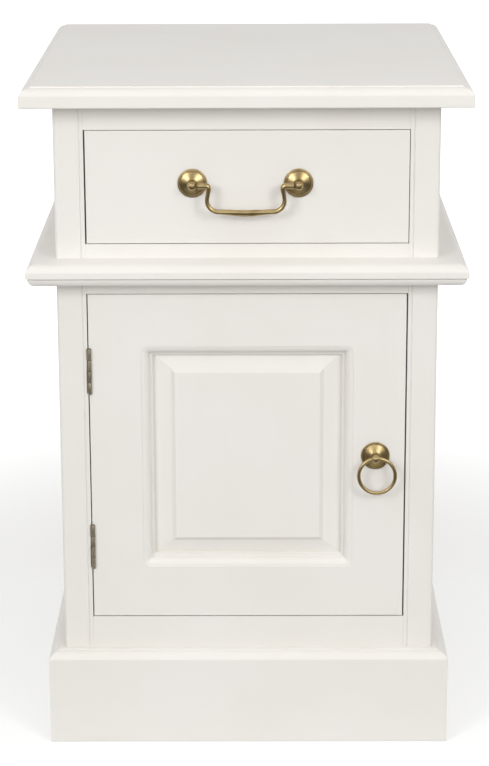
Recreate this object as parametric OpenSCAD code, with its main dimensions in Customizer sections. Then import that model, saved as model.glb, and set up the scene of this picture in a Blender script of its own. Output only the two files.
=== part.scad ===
/* [Carcass] */
// Width across the outer faces of the posts
body_w = 346; // [334:1:380]
// Depth from the front of the posts to the back of the cupboard
body_d = 360; // [340:1:400]
// Width of a post, seen from the front
post_w = 27; // [25:0.5:32]
// Depth of a post, seen from the side
post_d = 35; // [33:0.5:42]
// Radius of the rounded outer edge of a post
post_round = 3; // [1:0.25:4]
// Distance of the scratched line from the inner edge of a front post
quirk_in = 3.2; // [2:0.1:5]
// Width of the scratched line
quirk_w = 0.8; // [0.5:0.1:1.2]
// Depth of the scratched line
quirk_d = 0.7; // [0.3:0.1:1.2]
// Thickness of the side panels
panel_t = 14; // [11:0.5:16]
// Thickness of the back panel
back_t = 5; // [4:0.5:7]
// Width of the rebate that the back panel lies in
back_rebate = 10; // [8:0.5:14]
// Height of the bottom rails and the side panels that the plinth covers
rail_hidden = 31; // [20:1:50]

/* [Heights] */
// Height of the plinth
plinth_h = 91; // [80:1:110]
// Height of the bottom rail above the plinth
bottom_rail_h = 30.5; // [26:0.5:45]
// Height of the door opening
door_open_h = 315; // [295:0.5:360]
// Height of the rail between the door and the drawer
mid_rail_h = 46.5; // [42:0.5:60]
// Height of the drawer opening
drawer_open_h = 104.5; // [92:0.5:125]
// Height of the rail above the drawer
top_rail_h = 24; // [22:0.5:34]

/* [Rails] */
// Thickness of the front and back rails
rail_t = 22; // [18:0.5:26]
// Depth of the rail between the door and the drawer
mid_rail_d = 40; // [37:1:50]
// Thickness of the tenons on the rails
tenon_t = 8; // [6:0.5:10]
// Length of the tenons on the rails
tenon_l = 12; // [8:0.5:14]
// Height of the shoulders above and below a tenon
tenon_shoulder = 5; // [3:0.5:7]
// Thickness of the tongues on the side panels
tongue_t = 6; // [4:0.5:7]
// Length of the tongues on the side panels
tongue_l = 7; // [5:0.5:8]

/* [Top] */
// Thickness of the top board
top_t = 18.5; // [15:0.5:24]
// Overhang of the top at the front and the sides
top_overhang = 27; // [26:0.5:34]
// Overhang of the top at the back
top_back_overhang = 13; // [4:0.5:20]
// Radius of the lower edge of the top
top_low_round = 1.5; // [0.5:0.1:3]

/* [Mouldings] */
// Width of the thumb moulding on the top, waist and plinth edges
thumb_in = 9.2; // [7:0.1:11]
// Height of the thumb moulding
thumb_drop = 7.6; // [6:0.1:9]
// Height of the small step at the start of the thumb moulding
thumb_step = 1.2; // [0.5:0.1:2]
// Projection of the plinth from the posts
plinth_out = 14.5; // [12:0.5:20]
// Projection of the waist moulding from the posts
waist_out = 25.5; // [22:0.5:26]
// Thickness of the waist moulding
waist_t = 21.5; // [18:0.5:24]
// Distance of the waist moulding's top below the drawer opening
waist_drop = 13; // [6:0.5:18]
// Radius of the bead under the waist moulding's edge
bead_r = 7.7; // [5:0.1:9]
// Distance of the bead behind the waist moulding's edge
bead_set = 1.8; // [1:0.1:3]

/* [Inside] */
// Thickness of the cupboard floor
floor_t = 12; // [9:0.5:18]
// Side of the square battens under the floor
batten = 15; // [10:0.5:20]
// Thickness of the dust board under the drawer
dust_t = 5; // [4:0.5:6]
// Depth of the grooves that hold the dust board
dust_groove = 5; // [4:0.5:6]
// Height of the drawer runners
runner_t = 18; // [16:0.5:22]
// Width of the runner that shows inside the posts
runner_w = 16; // [14:0.5:20]
// Height of the guide above the runner
guide_h = 30; // [20:1:45]
// Length of a drawer stop
stop_l = 30; // [20:1:40]
// Depth of a drawer stop, front to back
stop_d = 12; // [8:0.5:14]
// Height of a drawer stop
stop_h = 6; // [4:0.5:6.5]

/* [Drawer] */
// Gap at each side of the drawer when it stands in the middle
drawer_gap = 1.0; // [0.9:0.1:2]
// Distance of the drawer to the right of the middle
drawer_shift = 0.4; // [0:0.1:0.7]
// Gap above the drawer front
drawer_gap_top = 0.6; // [0.5:0.1:1.4]
// Gap below the drawer front
drawer_gap_low = 0.6; // [0.5:0.1:1.4]
// Running gap under the drawer sides
slide_gap = 0.3; // [0.2:0.05:0.5]
// Gap above the drawer sides
kick_gap = 1.5; // [1:0.1:3]
// Free space behind the drawer
drawer_space = 25; // [15:1:60]
// Thickness of the drawer front
drawer_front_t = 18; // [17:0.5:22]
// Thickness of the drawer sides
drawer_side_t = 12; // [9:0.5:14]
// Thickness of the drawer back
drawer_back_t = 12; // [9:0.5:14]
// Thickness of the drawer bottom
drawer_bottom_t = 5; // [4:0.5:6]
// Height of the drawer bottom above the lower edge of the sides
drawer_bottom_up = 8; // [7.5:0.5:10]
// Depth of the grooves and housings in the drawer
drawer_groove = 5; // [3:0.5:6]
// Distance of the drawer back from the end of the sides
drawer_back_in = 8; // [4:0.5:14]
// Distance of the drawer back below the top of the sides
drawer_back_low = 6; // [2:0.5:12]
// Number of dovetails on each drawer side
tail_count = 3; // [2:1:4]
// Length of the dovetails
tail_l = 12; // [9:0.5:14]
// Height of a dovetail at its root
tail_root = 13; // [10:0.5:16]
// Height of a dovetail at its end
tail_end = 18; // [16.5:0.5:20]

/* [Door] */
// Thickness of the door
door_t = 21; // [20:0.5:24]
// Gap on the hinge side of the door
door_gap_hinge = 0.9; // [0.8:0.1:1.3]
// Gap on the lock side of the door
door_gap_lock = 1.2; // [1:0.1:2.2]
// Gap above the door
door_gap_top = 0.6; // [0.6:0.1:2]
// Gap below the door
door_gap_low = 0.8; // [0.6:0.1:2]
// Width of the flat face of the door stiles
stile_w = 47.8; // [42:0.1:56]
// Height of the flat face of the door rails
door_rail_h = 49.5; // [40:0.5:58]
// Width of the moulding round the door panel
stick_w = 10; // [9.4:0.1:13]
// Depth of the small step at the start of that moulding
stick_step = 0.8; // [0.4:0.1:1.2]
// Radius of the round of that moulding
stick_r = 7; // [5:0.1:7.5]
// Depth of the second step, below the round
stick_fillet = 1; // [0.5:0.1:1.5]
// Corner radius of the outer line of that moulding
stick_corner = 6.5; // [3:0.5:9]
// Depth of the panel groove behind the door face
groove_y = 13; // [12:0.5:14]
// Thickness of the groove and of the door tenons
groove_t = 5; // [4:0.5:6]
// Depth of the panel groove in the frame
groove_in = 6; // [5:0.5:8]
// Free play of the panel in its groove, each way
panel_play = 0.8; // [0.3:0.1:1.5]
// Length of the tenons of the door rails
door_tenon = 28; // [18:1:36]
// Width of the panel's slope at the stiles
slope_side = 17; // [14:0.2:22]
// Width of the panel's slope at the rails
slope_end = 13.2; // [10:0.2:18]
// Rise of the panel's slope
slope_rise = 3.9; // [2:0.1:5]
// Width of the chamfer round the raised field
field_chamfer = 3.4; // [2:0.1:4]

/* [Drawer handle] */
// Distance between the two handle posts
handle_spacing = 95.25; // [84:0.25:112]
// Distance of the handle to the left of the middle of the cupboard
handle_shift = 1.3; // [0:0.1:3]
// Height of the handle posts above the lower edge of the drawer front
handle_up = 55.5; // [48:0.1:62]
// Distance of the handle's pivots from the drawer front
handle_reach = 12; // [10.4:0.1:14]
// Radius of the round plates
rosette_r = 13.2; // [12:0.1:15]
// Thickness of the round plates at the rim
rosette_rim = 1.2; // [0.8:0.1:1.8]
// Radius of the foot of the cone on a round plate
cone_r = 10.8; // [9:0.1:11.4]
// Radius of the top of the cone
cone_top_r = 4.6; // [4.3:0.1:5.5]
// Height of the foot of the cone
cone_foot = 1.6; // [1.3:0.1:2.2]
// Height of the top of the cone
cone_h = 5.4; // [4:0.1:6]
// Radius of the ball on a post
ball_r = 4.2; // [4:0.1:5]
// Radius of the neck under the ball
neck_r = 3.3; // [2.8:0.1:3.8]
// Radius of the threaded shank of a post
shank_r = 2; // [1.5:0.1:2.5]
// Thickness of the nut on a shank
nut_t = 3.2; // [2:0.1:4]
// Radius of the nut, to its corners
nut_r = 4; // [3.5:0.1:5]
// Radius of the handle's pivot ends
pivot_r = 1.6; // [1.2:0.1:2]
// Radial clearance of the pivot ends
pivot_play = 0.05; // [0.03:0.01:0.1]
// Drop of the handle from its pivots to the middle of the grip
bail_drop = 25.4; // [22:0.1:30]
// Distance of the handle's legs inside the posts
leg_in = 13.9; // [10:0.1:16]
// Radius of the bends at the ends of the grip
bail_bend = 10.5; // [7:0.1:12]
// Gap between the handle's arms and the balls of the posts
arm_gap = 0.4; // [0.3:0.05:0.8]
// Radius of the handle's arms beside the posts
arm_r = 3.3; // [2.8:0.1:3.6]
// Radius of the rounded elbows
elbow_r = 2.9; // [2.6:0.1:3.2]
// How much more the elbows measure than what runs into them
elbow_step = 0.2; // [0.1:0.05:0.4]
// Radius of the handle through its bends
bend_r = 2.1; // [1.8:0.05:2.4]
// Radius of the handle in the middle of the grip
grip_r = 3.2; // [2.6:0.1:3.8]

/* [Ring pull] */
// Distance of the ring pull from the lock edge of the door
ring_in = 27.1; // [22:0.1:31]
// Height of the ring pull above the lower edge of the door
ring_up = 159; // [130:1:200]
// Distance of the ring's hole from the door
ring_reach = 10; // [9.9:0.1:12]
// Radius of the ring, to the middle of its wire
ring_r = 17; // [14:0.1:20]
// Radius of the ring's wire
wire_r = 1.5; // [1.2:0.05:1.7]
// Distance that the ring hangs to the right of its post
ring_shift = 1.3; // [0:0.1:1.5]
// Radius of the hole that the ring hangs in
ring_hole_r = 2.3; // [2.25:0.05:2.5]

/* [Hinges] */
// Length of a hinge
hinge_l = 42.5; // [36:0.5:50]
// Distance of the upper hinge from the top of the door opening
hinge_from_top = 52; // [40:1:80]
// Distance of the lower hinge from the bottom of the door opening
hinge_from_low = 49.5; // [40:0.5:80]
// Number of knuckles on a hinge
knuckle_count = 4; // [3:1:5]
// Radius of the knuckles
knuckle_r = 1.7; // [1.6:0.05:2]
// Gap between two knuckles
knuckle_gap = 0.3; // [0.2:0.05:0.5]
// Gap between the knuckles and the wood of the door
knuckle_play = 0.3; // [0.2:0.05:0.5]
// Radius of the hinge pin
pin_r = 0.9; // [0.7:0.05:1]
// Radial clearance of the hinge pin
pin_play = 0.05; // [0.03:0.01:0.08]
// Radius of the heads of the hinge pins
pin_head_r = 1.5; // [1.2:0.1:1.8]
// Thickness of those heads
pin_head_t = 0.6; // [0.4:0.1:1]
// Thickness of a hinge leaf
leaf_t = 1; // [0.8:0.1:1.2]
// Width of a hinge leaf
leaf_w = 13; // [11:0.5:15]
// Distance of the pin from the edge of the door opening
pin_in = 1.8; // [1.7:0.05:2]
// Distance of the pin in front of the door's face
pin_out = 1.2; // [1.15:0.05:1.4]

/* [Fixings] */
// Radius of the hinge screws
hinge_screw_r = 1.2; // [0.9:0.1:1.5]
// Length of the hinge screws
hinge_screw_l = 13; // [10:0.5:16]
// Distance of a hinge screw from the end of its leaf
hinge_screw_end = 8; // [6:0.5:11]
// Radius of the screws that hold the top
top_screw_r = 2; // [1.5:0.1:2.5]
// Length of the screws that hold the top
top_screw_l = 27; // [24:0.5:28]
// Depth of the pockets for the heads of those screws
top_screw_pocket = 11; // [8.5:0.5:11]
// Distance of those screws from the front of the posts
top_screw_front = 80; // [60:1:110]
// Distance of those screws from the back of the cupboard
top_screw_back = 80; // [60:1:110]
// Radius of the back panel pins
nail_r = 0.9; // [0.6:0.1:1.2]
// Length of the back panel pins
nail_l = 16; // [12:0.5:20]
// Number of pins up each side of the back panel
nail_count = 5; // [3:1:8]
// Distance of the first and the last pin from the ends of the back panel
nail_end = 45; // [35:1:70]
// Length of the magnet catch
catch_l = 46; // [40:1:56]
// Length of the housing between the ears of the catch
catch_body_l = 30; // [24:1:32]
// Height of the catch housing
catch_h = 11; // [10:0.5:12]
// Depth of the catch housing
catch_d = 14; // [12:0.5:15]
// Thickness of the two pole plates of the magnet, and how far they stand out
catch_pole = 0.8; // [0.5:0.1:1.2]
// Thickness of the ears of the catch
catch_ear_t = 3; // [2:0.5:4]
// Distance of the catch's middle from the lock side of the door opening
catch_in = 52; // [45:1:90]
// Gap between the magnet and its plate
catch_gap = 0.4; // [0.3:0.1:0.6]
// Thickness of the catch plate
catch_plate_t = 1; // [0.8:0.1:1.5]
// Length of the catch plate
catch_plate_l = 34; // [26:1:40]
// Height of the catch plate
catch_plate_h = 9; // [7:0.5:9.5]
// Radius of the catch screws
catch_screw_r = 1.3; // [1:0.1:1.5]
// Length of the catch screws
catch_screw_l = 13; // [10:0.5:16]

/* [Hidden] */
$fn = 64;

// Every cut runs this far past the face it starts from
over = 1;
left = -1;
right = 1;

// Plan: the origin is under the middle of the top board, the front looks towards -Y
half_w = body_w / 2;
top_w = body_w + 2 * top_overhang;
top_d = body_d + top_overhang + top_back_overhang;
front_y = top_overhang - top_d / 2;
back_y = front_y + body_d;
open_x = half_w - post_w;
panel_x = half_w - panel_t;
post_back_y = front_y + post_d;
back_post_y = back_y - post_d;
back_face_y = back_y - back_t;

// Levels above the ground
door_z0 = plinth_h + bottom_rail_h;
door_z1 = door_z0 + door_open_h;
drawer_z0 = door_z1 + mid_rail_h;
drawer_z1 = drawer_z0 + drawer_open_h;
carcass_h = drawer_z1 + top_rail_h;
toe_z = plinth_h - rail_hidden;
waist_z1 = drawer_z0 - waist_drop;
waist_z0 = waist_z1 - waist_t;
dust_z = drawer_z0 - (runner_t + dust_t) / 2;

// The arc of the thumb moulding starts level and ends at the moulding's outer edge
thumb_arc_h = thumb_drop - thumb_step;
thumb_r = (thumb_in * thumb_in + thumb_arc_h * thumb_arc_h) / (2 * thumb_arc_h);

// Drawer
drawer_x0 = -open_x + drawer_gap + drawer_shift;
drawer_x1 = open_x - drawer_gap + drawer_shift;
front_z0 = drawer_z0 + drawer_gap_low;
front_z1 = drawer_z1 - drawer_gap_top;
drawer_back_y = back_face_y - drawer_space;
drawer_inner_y = front_y + drawer_front_t;
side_z0 = drawer_z0 + slide_gap;
side_z1 = drawer_z1 - kick_gap;
bottom_z0 = side_z0 + drawer_bottom_up;
bottom_z1 = bottom_z0 + drawer_bottom_t;
tail_pitch = (side_z1 - side_z0) / tail_count;

// Door, its frame and its panel
leaf_x0 = -open_x + door_gap_hinge;
leaf_x1 = open_x - door_gap_lock;
leaf_z0 = door_z0 + door_gap_low;
leaf_z1 = door_z1 - door_gap_top;
door_mid = [(leaf_x0 + leaf_x1) / 2, 0, (leaf_z0 + leaf_z1) / 2];
door_back_y = front_y + door_t;
outer_half = [(leaf_x1 - leaf_x0) / 2 - stile_w, (leaf_z1 - leaf_z0) / 2 - door_rail_h];
inner_half = [outer_half[0] - stick_w, outer_half[1] - stick_w];
field_y = groove_y - slope_rise - field_chamfer;

// Pulls
handle_z = front_z0 + handle_up;
handle_x = [-handle_shift - handle_spacing / 2, -handle_shift + handle_spacing / 2];
ring_x = leaf_x1 - ring_in;
ring_z = leaf_z0 + ring_up;
leg_x = handle_spacing / 2 - leg_in;
grip_x = leg_x - bail_bend;
// The grip swells along an arc from one bend to the other
grip_swell = grip_r - bend_r;
grip_arc_r = (grip_x * grip_x + grip_swell * grip_swell) / (2 * grip_swell);
// Heights of the wire's middle where it enters the ball, under the top of the ring
sag_left = ring_r - sqrt(ring_r * ring_r - (ball_r + ring_shift) * (ball_r + ring_shift));
sag_right = ring_r - sqrt(ring_r * ring_r - (ball_r - ring_shift) * (ball_r - ring_shift));

// Hinges
pin_x = -open_x + pin_in;
pin_y = front_y - pin_out;
knuckle_l = (hinge_l - (knuckle_count - 1) * knuckle_gap) / knuckle_count;
knuckle_step = knuckle_l + knuckle_gap;
upper_hinge_z = door_z1 - hinge_from_top - hinge_l;
lower_hinge_z = door_z0 + hinge_from_low;

// Catch
catch_x = open_x - catch_in;
catch_y = door_back_y + catch_plate_t + catch_gap;
catch_z = door_z1 - catch_h / 2;

// A box between its lowest and its highest corner
module block(low, high) {
    translate(low)
        cube(high - low);
}

// Mirrors what is modelled on the right to the side asked for
module on_side(side) {
    mirror([side < 0 ? 1 : 0, 0, 0])
        children();
}

// Stands what points up Z out of the front of the cupboard at [x, z]
module on_front(x, z) {
    translate([x, front_y, z])
        rotate([90, 0, 0])
            children();
}

// A countersunk screw pointing up Z, with the top of its slotted head at z = 0
module screw(l, r) {
    difference() {
        union() {
            cylinder(h = r, r1 = 2 * r, r2 = r);
            cylinder(h = l - 2 * r, r = r);
            translate([0, 0, l - 2 * r])
                cylinder(h = 2 * r, r1 = r, r2 = r / 4);
        }
        block([-2 * r, -r / 4, -over], [2 * r, r / 4, r / 2]);
    }
}

// The hole that such a screw fills, open past the screw's head
module screw_hole(l, r) {
    translate([0, 0, -over])
        cylinder(h = over, r = 2 * r);
    cylinder(h = r, r1 = 2 * r, r2 = r);
    cylinder(h = l - 2 * r, r = r);
    translate([0, 0, l - 2 * r])
        cylinder(h = 2 * r, r1 = r, r2 = r / 4);
}

// ---- Mouldings ----

// What the thumb moulding takes off a square edge whose corner is at the origin
module thumb_cut() {
    difference() {
        translate([-thumb_in, -thumb_drop])
            square([thumb_in + over, thumb_drop + over]);
        translate([-thumb_in, -thumb_step - thumb_r])
            circle(thumb_r);
    }
}

// What a round of radius r takes off a square edge whose corner is at the origin
module round_cut(r) {
    difference() {
        translate([-r, -over])
            square([r + over, r + over]);
        translate([-r, r])
            circle(r);
    }
}

// Section of the top board along one direction
module top_section(l) {
    difference() {
        translate([-l / 2, 0])
            square([l, top_t]);
        for (end = [0, 1])
            mirror([end, 0])
                translate([l / 2, 0]) {
                    translate([0, top_t])
                        thumb_cut();
                    round_cut(top_low_round);
                }
    }
}

// Section of the waist moulding, outwards along X and up along Y
module waist_section() {
    difference() {
        square([waist_out, waist_t]);
        translate([waist_out, waist_t])
            thumb_cut();
        difference() {
            translate([waist_out - bead_set - bead_r, -over])
                square([bead_set + bead_r + over, bead_r + over]);
            translate([waist_out - bead_set - bead_r, bead_r])
                circle(bead_r);
        }
    }
}

// Section of the plinth, outwards along X and up along Y
module plinth_section() {
    difference() {
        square([plinth_out, plinth_h]);
        translate([plinth_out, plinth_h])
            thumb_cut();
    }
}

// A section carried across the front and mitred at both corners
module front_length(out, h) {
    intersection() {
        linear_extrude(h)
            polygon([
                [-half_w - out, front_y - out], [half_w + out, front_y - out],
                [half_w, front_y], [-half_w, front_y]
            ]);
        translate([half_w + out, front_y, 0])
            rotate([90, 0, -90])
                linear_extrude(body_w + 2 * out)
                    children();
    }
}

// A section carried along the right side, mitred at the front
module side_length(out, h) {
    intersection() {
        linear_extrude(h)
            polygon([
                [half_w, front_y], [half_w + out, front_y - out],
                [half_w + out, back_y], [half_w, back_y]
            ]);
        translate([half_w, back_y, 0])
            rotate([90, 0, 0])
                linear_extrude(body_d + out)
                    children();
    }
}

module waist_front() {
    color("#efece6")
        translate([0, 0, waist_z0])
            front_length(waist_out, waist_t)
                waist_section();
}

module waist_side(side) {
    color("#efece6")
        on_side(side)
            translate([0, 0, waist_z0])
                side_length(waist_out, waist_t)
                    waist_section();
}

module plinth_front() {
    color("#e9e6e0")
        front_length(plinth_out, plinth_h)
            plinth_section();
}

module plinth_side(side) {
    color("#e9e6e0")
        on_side(side)
            side_length(plinth_out, plinth_h)
                plinth_section();
}

// ---- Carcass ----

// Plan of the right front post, its rounded corner towards the front
module post_plan() {
    difference() {
        translate([open_x, front_y])
            square([post_w, post_d]);
        translate([half_w, front_y])
            round_cut(post_round);
    }
}

// Tenon of a right rail end, between two levels, its middle at y. It starts inside the rail.
module rail_tenon(y, z0, z1) {
    block([open_x - over, y - tenon_t / 2, z0 + tenon_shoulder],
          [open_x + tenon_l, y + tenon_t / 2, z1 - tenon_shoulder]);
}

// The tenons of the three front rails on the right
module front_tenons() {
    y = front_y + rail_t / 2;
    rail_tenon(y, drawer_z1, carcass_h);
    rail_tenon(y, door_z1, drawer_z0);
    rail_tenon(y, toe_z, door_z0);
}

// The tenons of the two back rails on the right
module back_tenons() {
    y = back_face_y - rail_t / 2;
    rail_tenon(y, drawer_z1, carcass_h);
    rail_tenon(y, toe_z, door_z0);
}

// The tongues on both edges of the right side panel. As a groove they run out at the top.
module side_tongues(past) {
    x = half_w - panel_t / 2;
    block([x - tongue_t / 2, post_back_y - tongue_l, toe_z],
          [x + tongue_t / 2, back_post_y + tongue_l, carcass_h + past]);
}

module front_post(side) {
    color("#eceae5")
        difference() {
            on_side(side)
                difference() {
                    linear_extrude(carcass_h)
                        difference() {
                            post_plan();
                            translate([open_x + quirk_in, front_y - over])
                                square([quirk_w, quirk_d + over]);
                        }
                    front_tenons();
                    side_tongues(over);
                }
            if (side < 0)
                for (z = [upper_hinge_z, lower_hinge_z]) {
                    frame_leaf_plate(z, over);
                    frame_screw_holes(z);
                }
        }
}

module back_post(side) {
    color("#eceae5")
        difference() {
            on_side(side)
                difference() {
                    translate([0, back_y + front_y, 0])
                        mirror([0, 1, 0])
                            linear_extrude(carcass_h)
                                post_plan();
                    block([open_x - over, back_face_y, toe_z],
                          [open_x + back_rebate, back_y + over, carcass_h + over]);
                    back_tenons();
                    side_tongues(over);
                }
            nail_holes();
        }
}

module side_panel(side) {
    color("#eae8e2")
        on_side(side) {
            block([panel_x, post_back_y, toe_z], [half_w, back_post_y, carcass_h]);
            side_tongues(0);
        }
}

module back_panel() {
    color("#d9d3c6")
        difference() {
            block([-open_x - back_rebate, back_face_y, toe_z], [open_x + back_rebate, back_y, carcass_h]);
            nail_holes();
        }
}

// A rail between the posts with a tenon at each end
module rail(y0, d, z0, z1, tenon_y) {
    block([-open_x, y0, z0], [open_x, y0 + d, z1]);
    for (side = [left, right])
        on_side(side)
            rail_tenon(tenon_y, z0, z1);
}

module top_front_rail() {
    color("#eceae5")
        rail(front_y, rail_t, drawer_z1, carcass_h, front_y + rail_t / 2);
}

module middle_front_rail() {
    color("#eceae5")
        difference() {
            rail(front_y, mid_rail_d, door_z1, drawer_z0, front_y + rail_t / 2);
            dust_sheet(over);
            catch_screw_places()
                screw_hole(catch_screw_l, catch_screw_r);
        }
}

module bottom_front_rail() {
    color("#eceae5")
        rail(front_y, rail_t, toe_z, door_z0, front_y + rail_t / 2);
}

module top_back_rail() {
    color("#e4e0d8")
        difference() {
            rail(back_face_y - rail_t, rail_t, drawer_z1, carcass_h, back_face_y - rail_t / 2);
            nail_holes();
        }
}

module bottom_back_rail() {
    color("#e4e0d8")
        difference() {
            rail(back_face_y - rail_t, rail_t, toe_z, door_z0, back_face_y - rail_t / 2);
            nail_holes();
        }
}

// Plan of a board that fills the inside and is notched round the posts
module inside_plan(y0, y1) {
    translate([-open_x, y0])
        square([2 * open_x, y1 - y0]);
    translate([-panel_x, post_back_y])
        square([2 * panel_x, back_post_y - post_back_y]);
}

module cupboard_floor() {
    color("#e8e5de")
        translate([0, 0, door_z0 - floor_t])
            linear_extrude(floor_t)
                inside_plan(front_y + rail_t, back_face_y - rail_t);
}

module floor_battens() {
    color("#cdb892")
        for (side = [left, right])
            on_side(side)
                block([panel_x - batten, post_back_y, door_z0 - floor_t - batten],
                      [panel_x, back_post_y, door_z0 - floor_t]);
}

// The thin board under the drawer, in grooves of the rail and the runners
module dust_sheet(past) {
    block([runner_w - open_x - dust_groove, front_y + mid_rail_d - dust_groove, dust_z],
          [open_x - runner_w + dust_groove, back_face_y + past, dust_z + dust_t]);
}

module dust_board() {
    color("#cbb892")
        dust_sheet(0);
}

// A strip inside the right posts that widens to the side panel between them
module side_strip(y0, y1, z0, z1) {
    block([open_x - runner_w, y0, z0], [open_x, y1, z1]);
    block([open_x, post_back_y, z0], [panel_x, back_post_y, z1]);
}

module drawer_runner(side) {
    color("#c9b48c")
        on_side(side)
            difference() {
                union() {
                    side_strip(front_y + mid_rail_d, back_face_y, drawer_z0 - runner_t, drawer_z0);
                    block([open_x, post_back_y, drawer_z0 - over],
                          [panel_x, back_post_y, drawer_z0 + guide_h]);
                }
                dust_sheet(over);
            }
}

// The places of the screws that hold the top, seen on the right
module top_screw_places() {
    for (y = [front_y + top_screw_front, back_y - top_screw_back])
        translate([open_x - runner_w / 2, y, drawer_z1 + top_screw_pocket])
            children();
}

module drawer_kicker(side) {
    color("#c9b48c")
        on_side(side)
            difference() {
                side_strip(front_y + rail_t, back_face_y - rail_t, drawer_z1, carcass_h);
                top_screw_places() {
                    screw_hole(top_screw_l, top_screw_r);
                    translate([0, 0, -top_screw_pocket - over])
                        cylinder(h = top_screw_pocket + over, r = 2 * top_screw_r);
                }
            }
}

module drawer_stops() {
    color("#c9b48c")
        for (side = [left, right])
            on_side(side)
                translate([open_x / 2 - stop_l / 2, drawer_inner_y + slide_gap, drawer_z0])
                    cube([stop_l, stop_d, stop_h]);
}

module top_board() {
    color("#f0eee9")
        difference() {
            translate([0, 0, carcass_h])
                intersection() {
                    translate([0, top_d / 2, 0])
                        rotate([90, 0, 0])
                            linear_extrude(top_d)
                                top_section(top_w);
                    translate([-top_w / 2, 0, 0])
                        rotate([90, 0, 90])
                            linear_extrude(top_w)
                                top_section(top_d);
                }
            for (side = [left, right])
                on_side(side)
                    top_screw_places()
                        screw_hole(top_screw_l, top_screw_r);
        }
}

module top_fixing_screws() {
    color("#b9a566")
        for (side = [left, right])
            on_side(side)
                top_screw_places()
                    screw(top_screw_l, top_screw_r);
}

// One back panel pin, driven in towards -Z from its flat head at z = 0
module nail() {
    translate([0, 0, -nail_l])
        cylinder(h = nail_l, r = nail_r);
    translate([0, 0, -nail_r])
        cylinder(h = nail_r, r = 2 * nail_r);
}

// The pins up both sides of the back panel and along both back rails
module nail_places() {
    z0 = toe_z + nail_end;
    pitch = (carcass_h - nail_end - z0) / (nail_count - 1);
    for (side = [left, right]) {
        for (i = [0 : nail_count - 1])
            translate([side * (open_x + back_rebate / 2), back_y, z0 + pitch * i])
                rotate([-90, 0, 0])
                    children();
        for (z = [(toe_z + door_z0) / 2, (drawer_z1 + carcass_h) / 2])
            translate([side * open_x / 2, back_y, z])
                rotate([-90, 0, 0])
                    children();
    }
}

module nail_holes() {
    nail_places() {
        nail();
        cylinder(h = over, r = 2 * nail_r);
    }
}

module back_panel_pins() {
    color("#9a9a96")
        nail_places()
            nail();
}

// ---- Magnet catch ----

// Places of the catch screws, pointing up into the rail from under the ears
module catch_screw_places() {
    for (side = [left, right])
        translate([catch_x + side * (catch_l + catch_body_l) / 4, catch_y + catch_pole + catch_d / 2,
                   door_z1 - catch_ear_t])
            children();
}

module magnet_catch() {
    color("#f4f2ee")
        difference() {
            translate([catch_x, catch_y, 0]) {
                block([-catch_l / 2, catch_pole, door_z1 - catch_ear_t],
                      [catch_l / 2, catch_pole + catch_d, door_z1]);
                block([-catch_body_l / 2, catch_pole, door_z1 - catch_h],
                      [catch_body_l / 2, catch_pole + catch_d, door_z1]);
                for (side = [left, right])
                    translate([0, 0, catch_z + side * catch_h / 5 - catch_pole / 2])
                        block([-catch_body_l / 3, 0, 0], [catch_body_l / 3, 2 * catch_pole, catch_pole]);
            }
            catch_screw_places()
                screw_hole(catch_screw_l, catch_screw_r);
        }
}

module catch_screws() {
    color("#b5b5b0")
        catch_screw_places()
            screw(catch_screw_l, catch_screw_r);
}

// Places of the two screws of the catch plate, pointing into the door's back
module plate_screw_places() {
    for (side = [left, right])
        translate([catch_x + side * catch_plate_l / 3, door_back_y + catch_plate_t, catch_z])
            rotate([90, 0, 0])
                children();
}

module catch_plate() {
    color("#b5b5b0")
        difference() {
            block([catch_x - catch_plate_l / 2, door_back_y, catch_z - catch_plate_h / 2],
                  [catch_x + catch_plate_l / 2, door_back_y + catch_plate_t, catch_z + catch_plate_h / 2]);
            plate_screw_places()
                screw_hole(catch_screw_l, catch_screw_r);
        }
}

module catch_plate_screws() {
    color("#b5b5b0")
        plate_screw_places()
            screw(catch_screw_l, catch_screw_r);
}

// ---- Drawer ----

// The dovetails of the right drawer side, from the drawer front's inner face.
// Their sockets open past the end of the drawer front.
module right_tails(past) {
    for (i = [0 : tail_count - 1])
        translate([drawer_x1 + past, drawer_inner_y, side_z0 + tail_pitch * (i + 0.5)])
            rotate([0, 0, -90])
                rotate([90, 0, 0])
                    linear_extrude(drawer_side_t + past)
                        polygon([
                            [-over, -tail_root / 2], [0, -tail_root / 2], [tail_l, -tail_end / 2],
                            [tail_l, tail_end / 2], [0, tail_root / 2], [-over, tail_root / 2]
                        ]);
}

// Moves what is modelled on the right of the drawer to the side asked for
module on_drawer_side(side) {
    translate([drawer_shift, 0, 0])
        on_side(side)
            translate([-drawer_shift, 0, 0])
                children();
}

module drawer_tails(side, past) {
    on_drawer_side(side)
        right_tails(past);
}

// The drawer bottom; its grooves run out at the ends of the sides
module drawer_sheet(past) {
    block([drawer_x0 + drawer_side_t - drawer_groove, drawer_inner_y - drawer_groove, bottom_z0],
          [drawer_x1 - drawer_side_t + drawer_groove, drawer_back_y + past, bottom_z1]);
}

module drawer_back_board() {
    y1 = drawer_back_y - drawer_back_in;
    block([drawer_x0 + drawer_side_t - drawer_groove, y1 - drawer_back_t, bottom_z1],
          [drawer_x1 - drawer_side_t + drawer_groove, y1, side_z1 - drawer_back_low]);
}

module drawer_front() {
    color("#edebe7")
        difference() {
            block([drawer_x0, front_y, front_z0], [drawer_x1, drawer_inner_y, front_z1]);
            for (side = [left, right])
                drawer_tails(side, over);
            drawer_sheet(over);
            for (x = handle_x)
                translate([x, front_y - over, handle_z])
                    rotate([-90, 0, 0])
                        cylinder(h = drawer_front_t + 2 * over, r = shank_r);
        }
}

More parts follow.
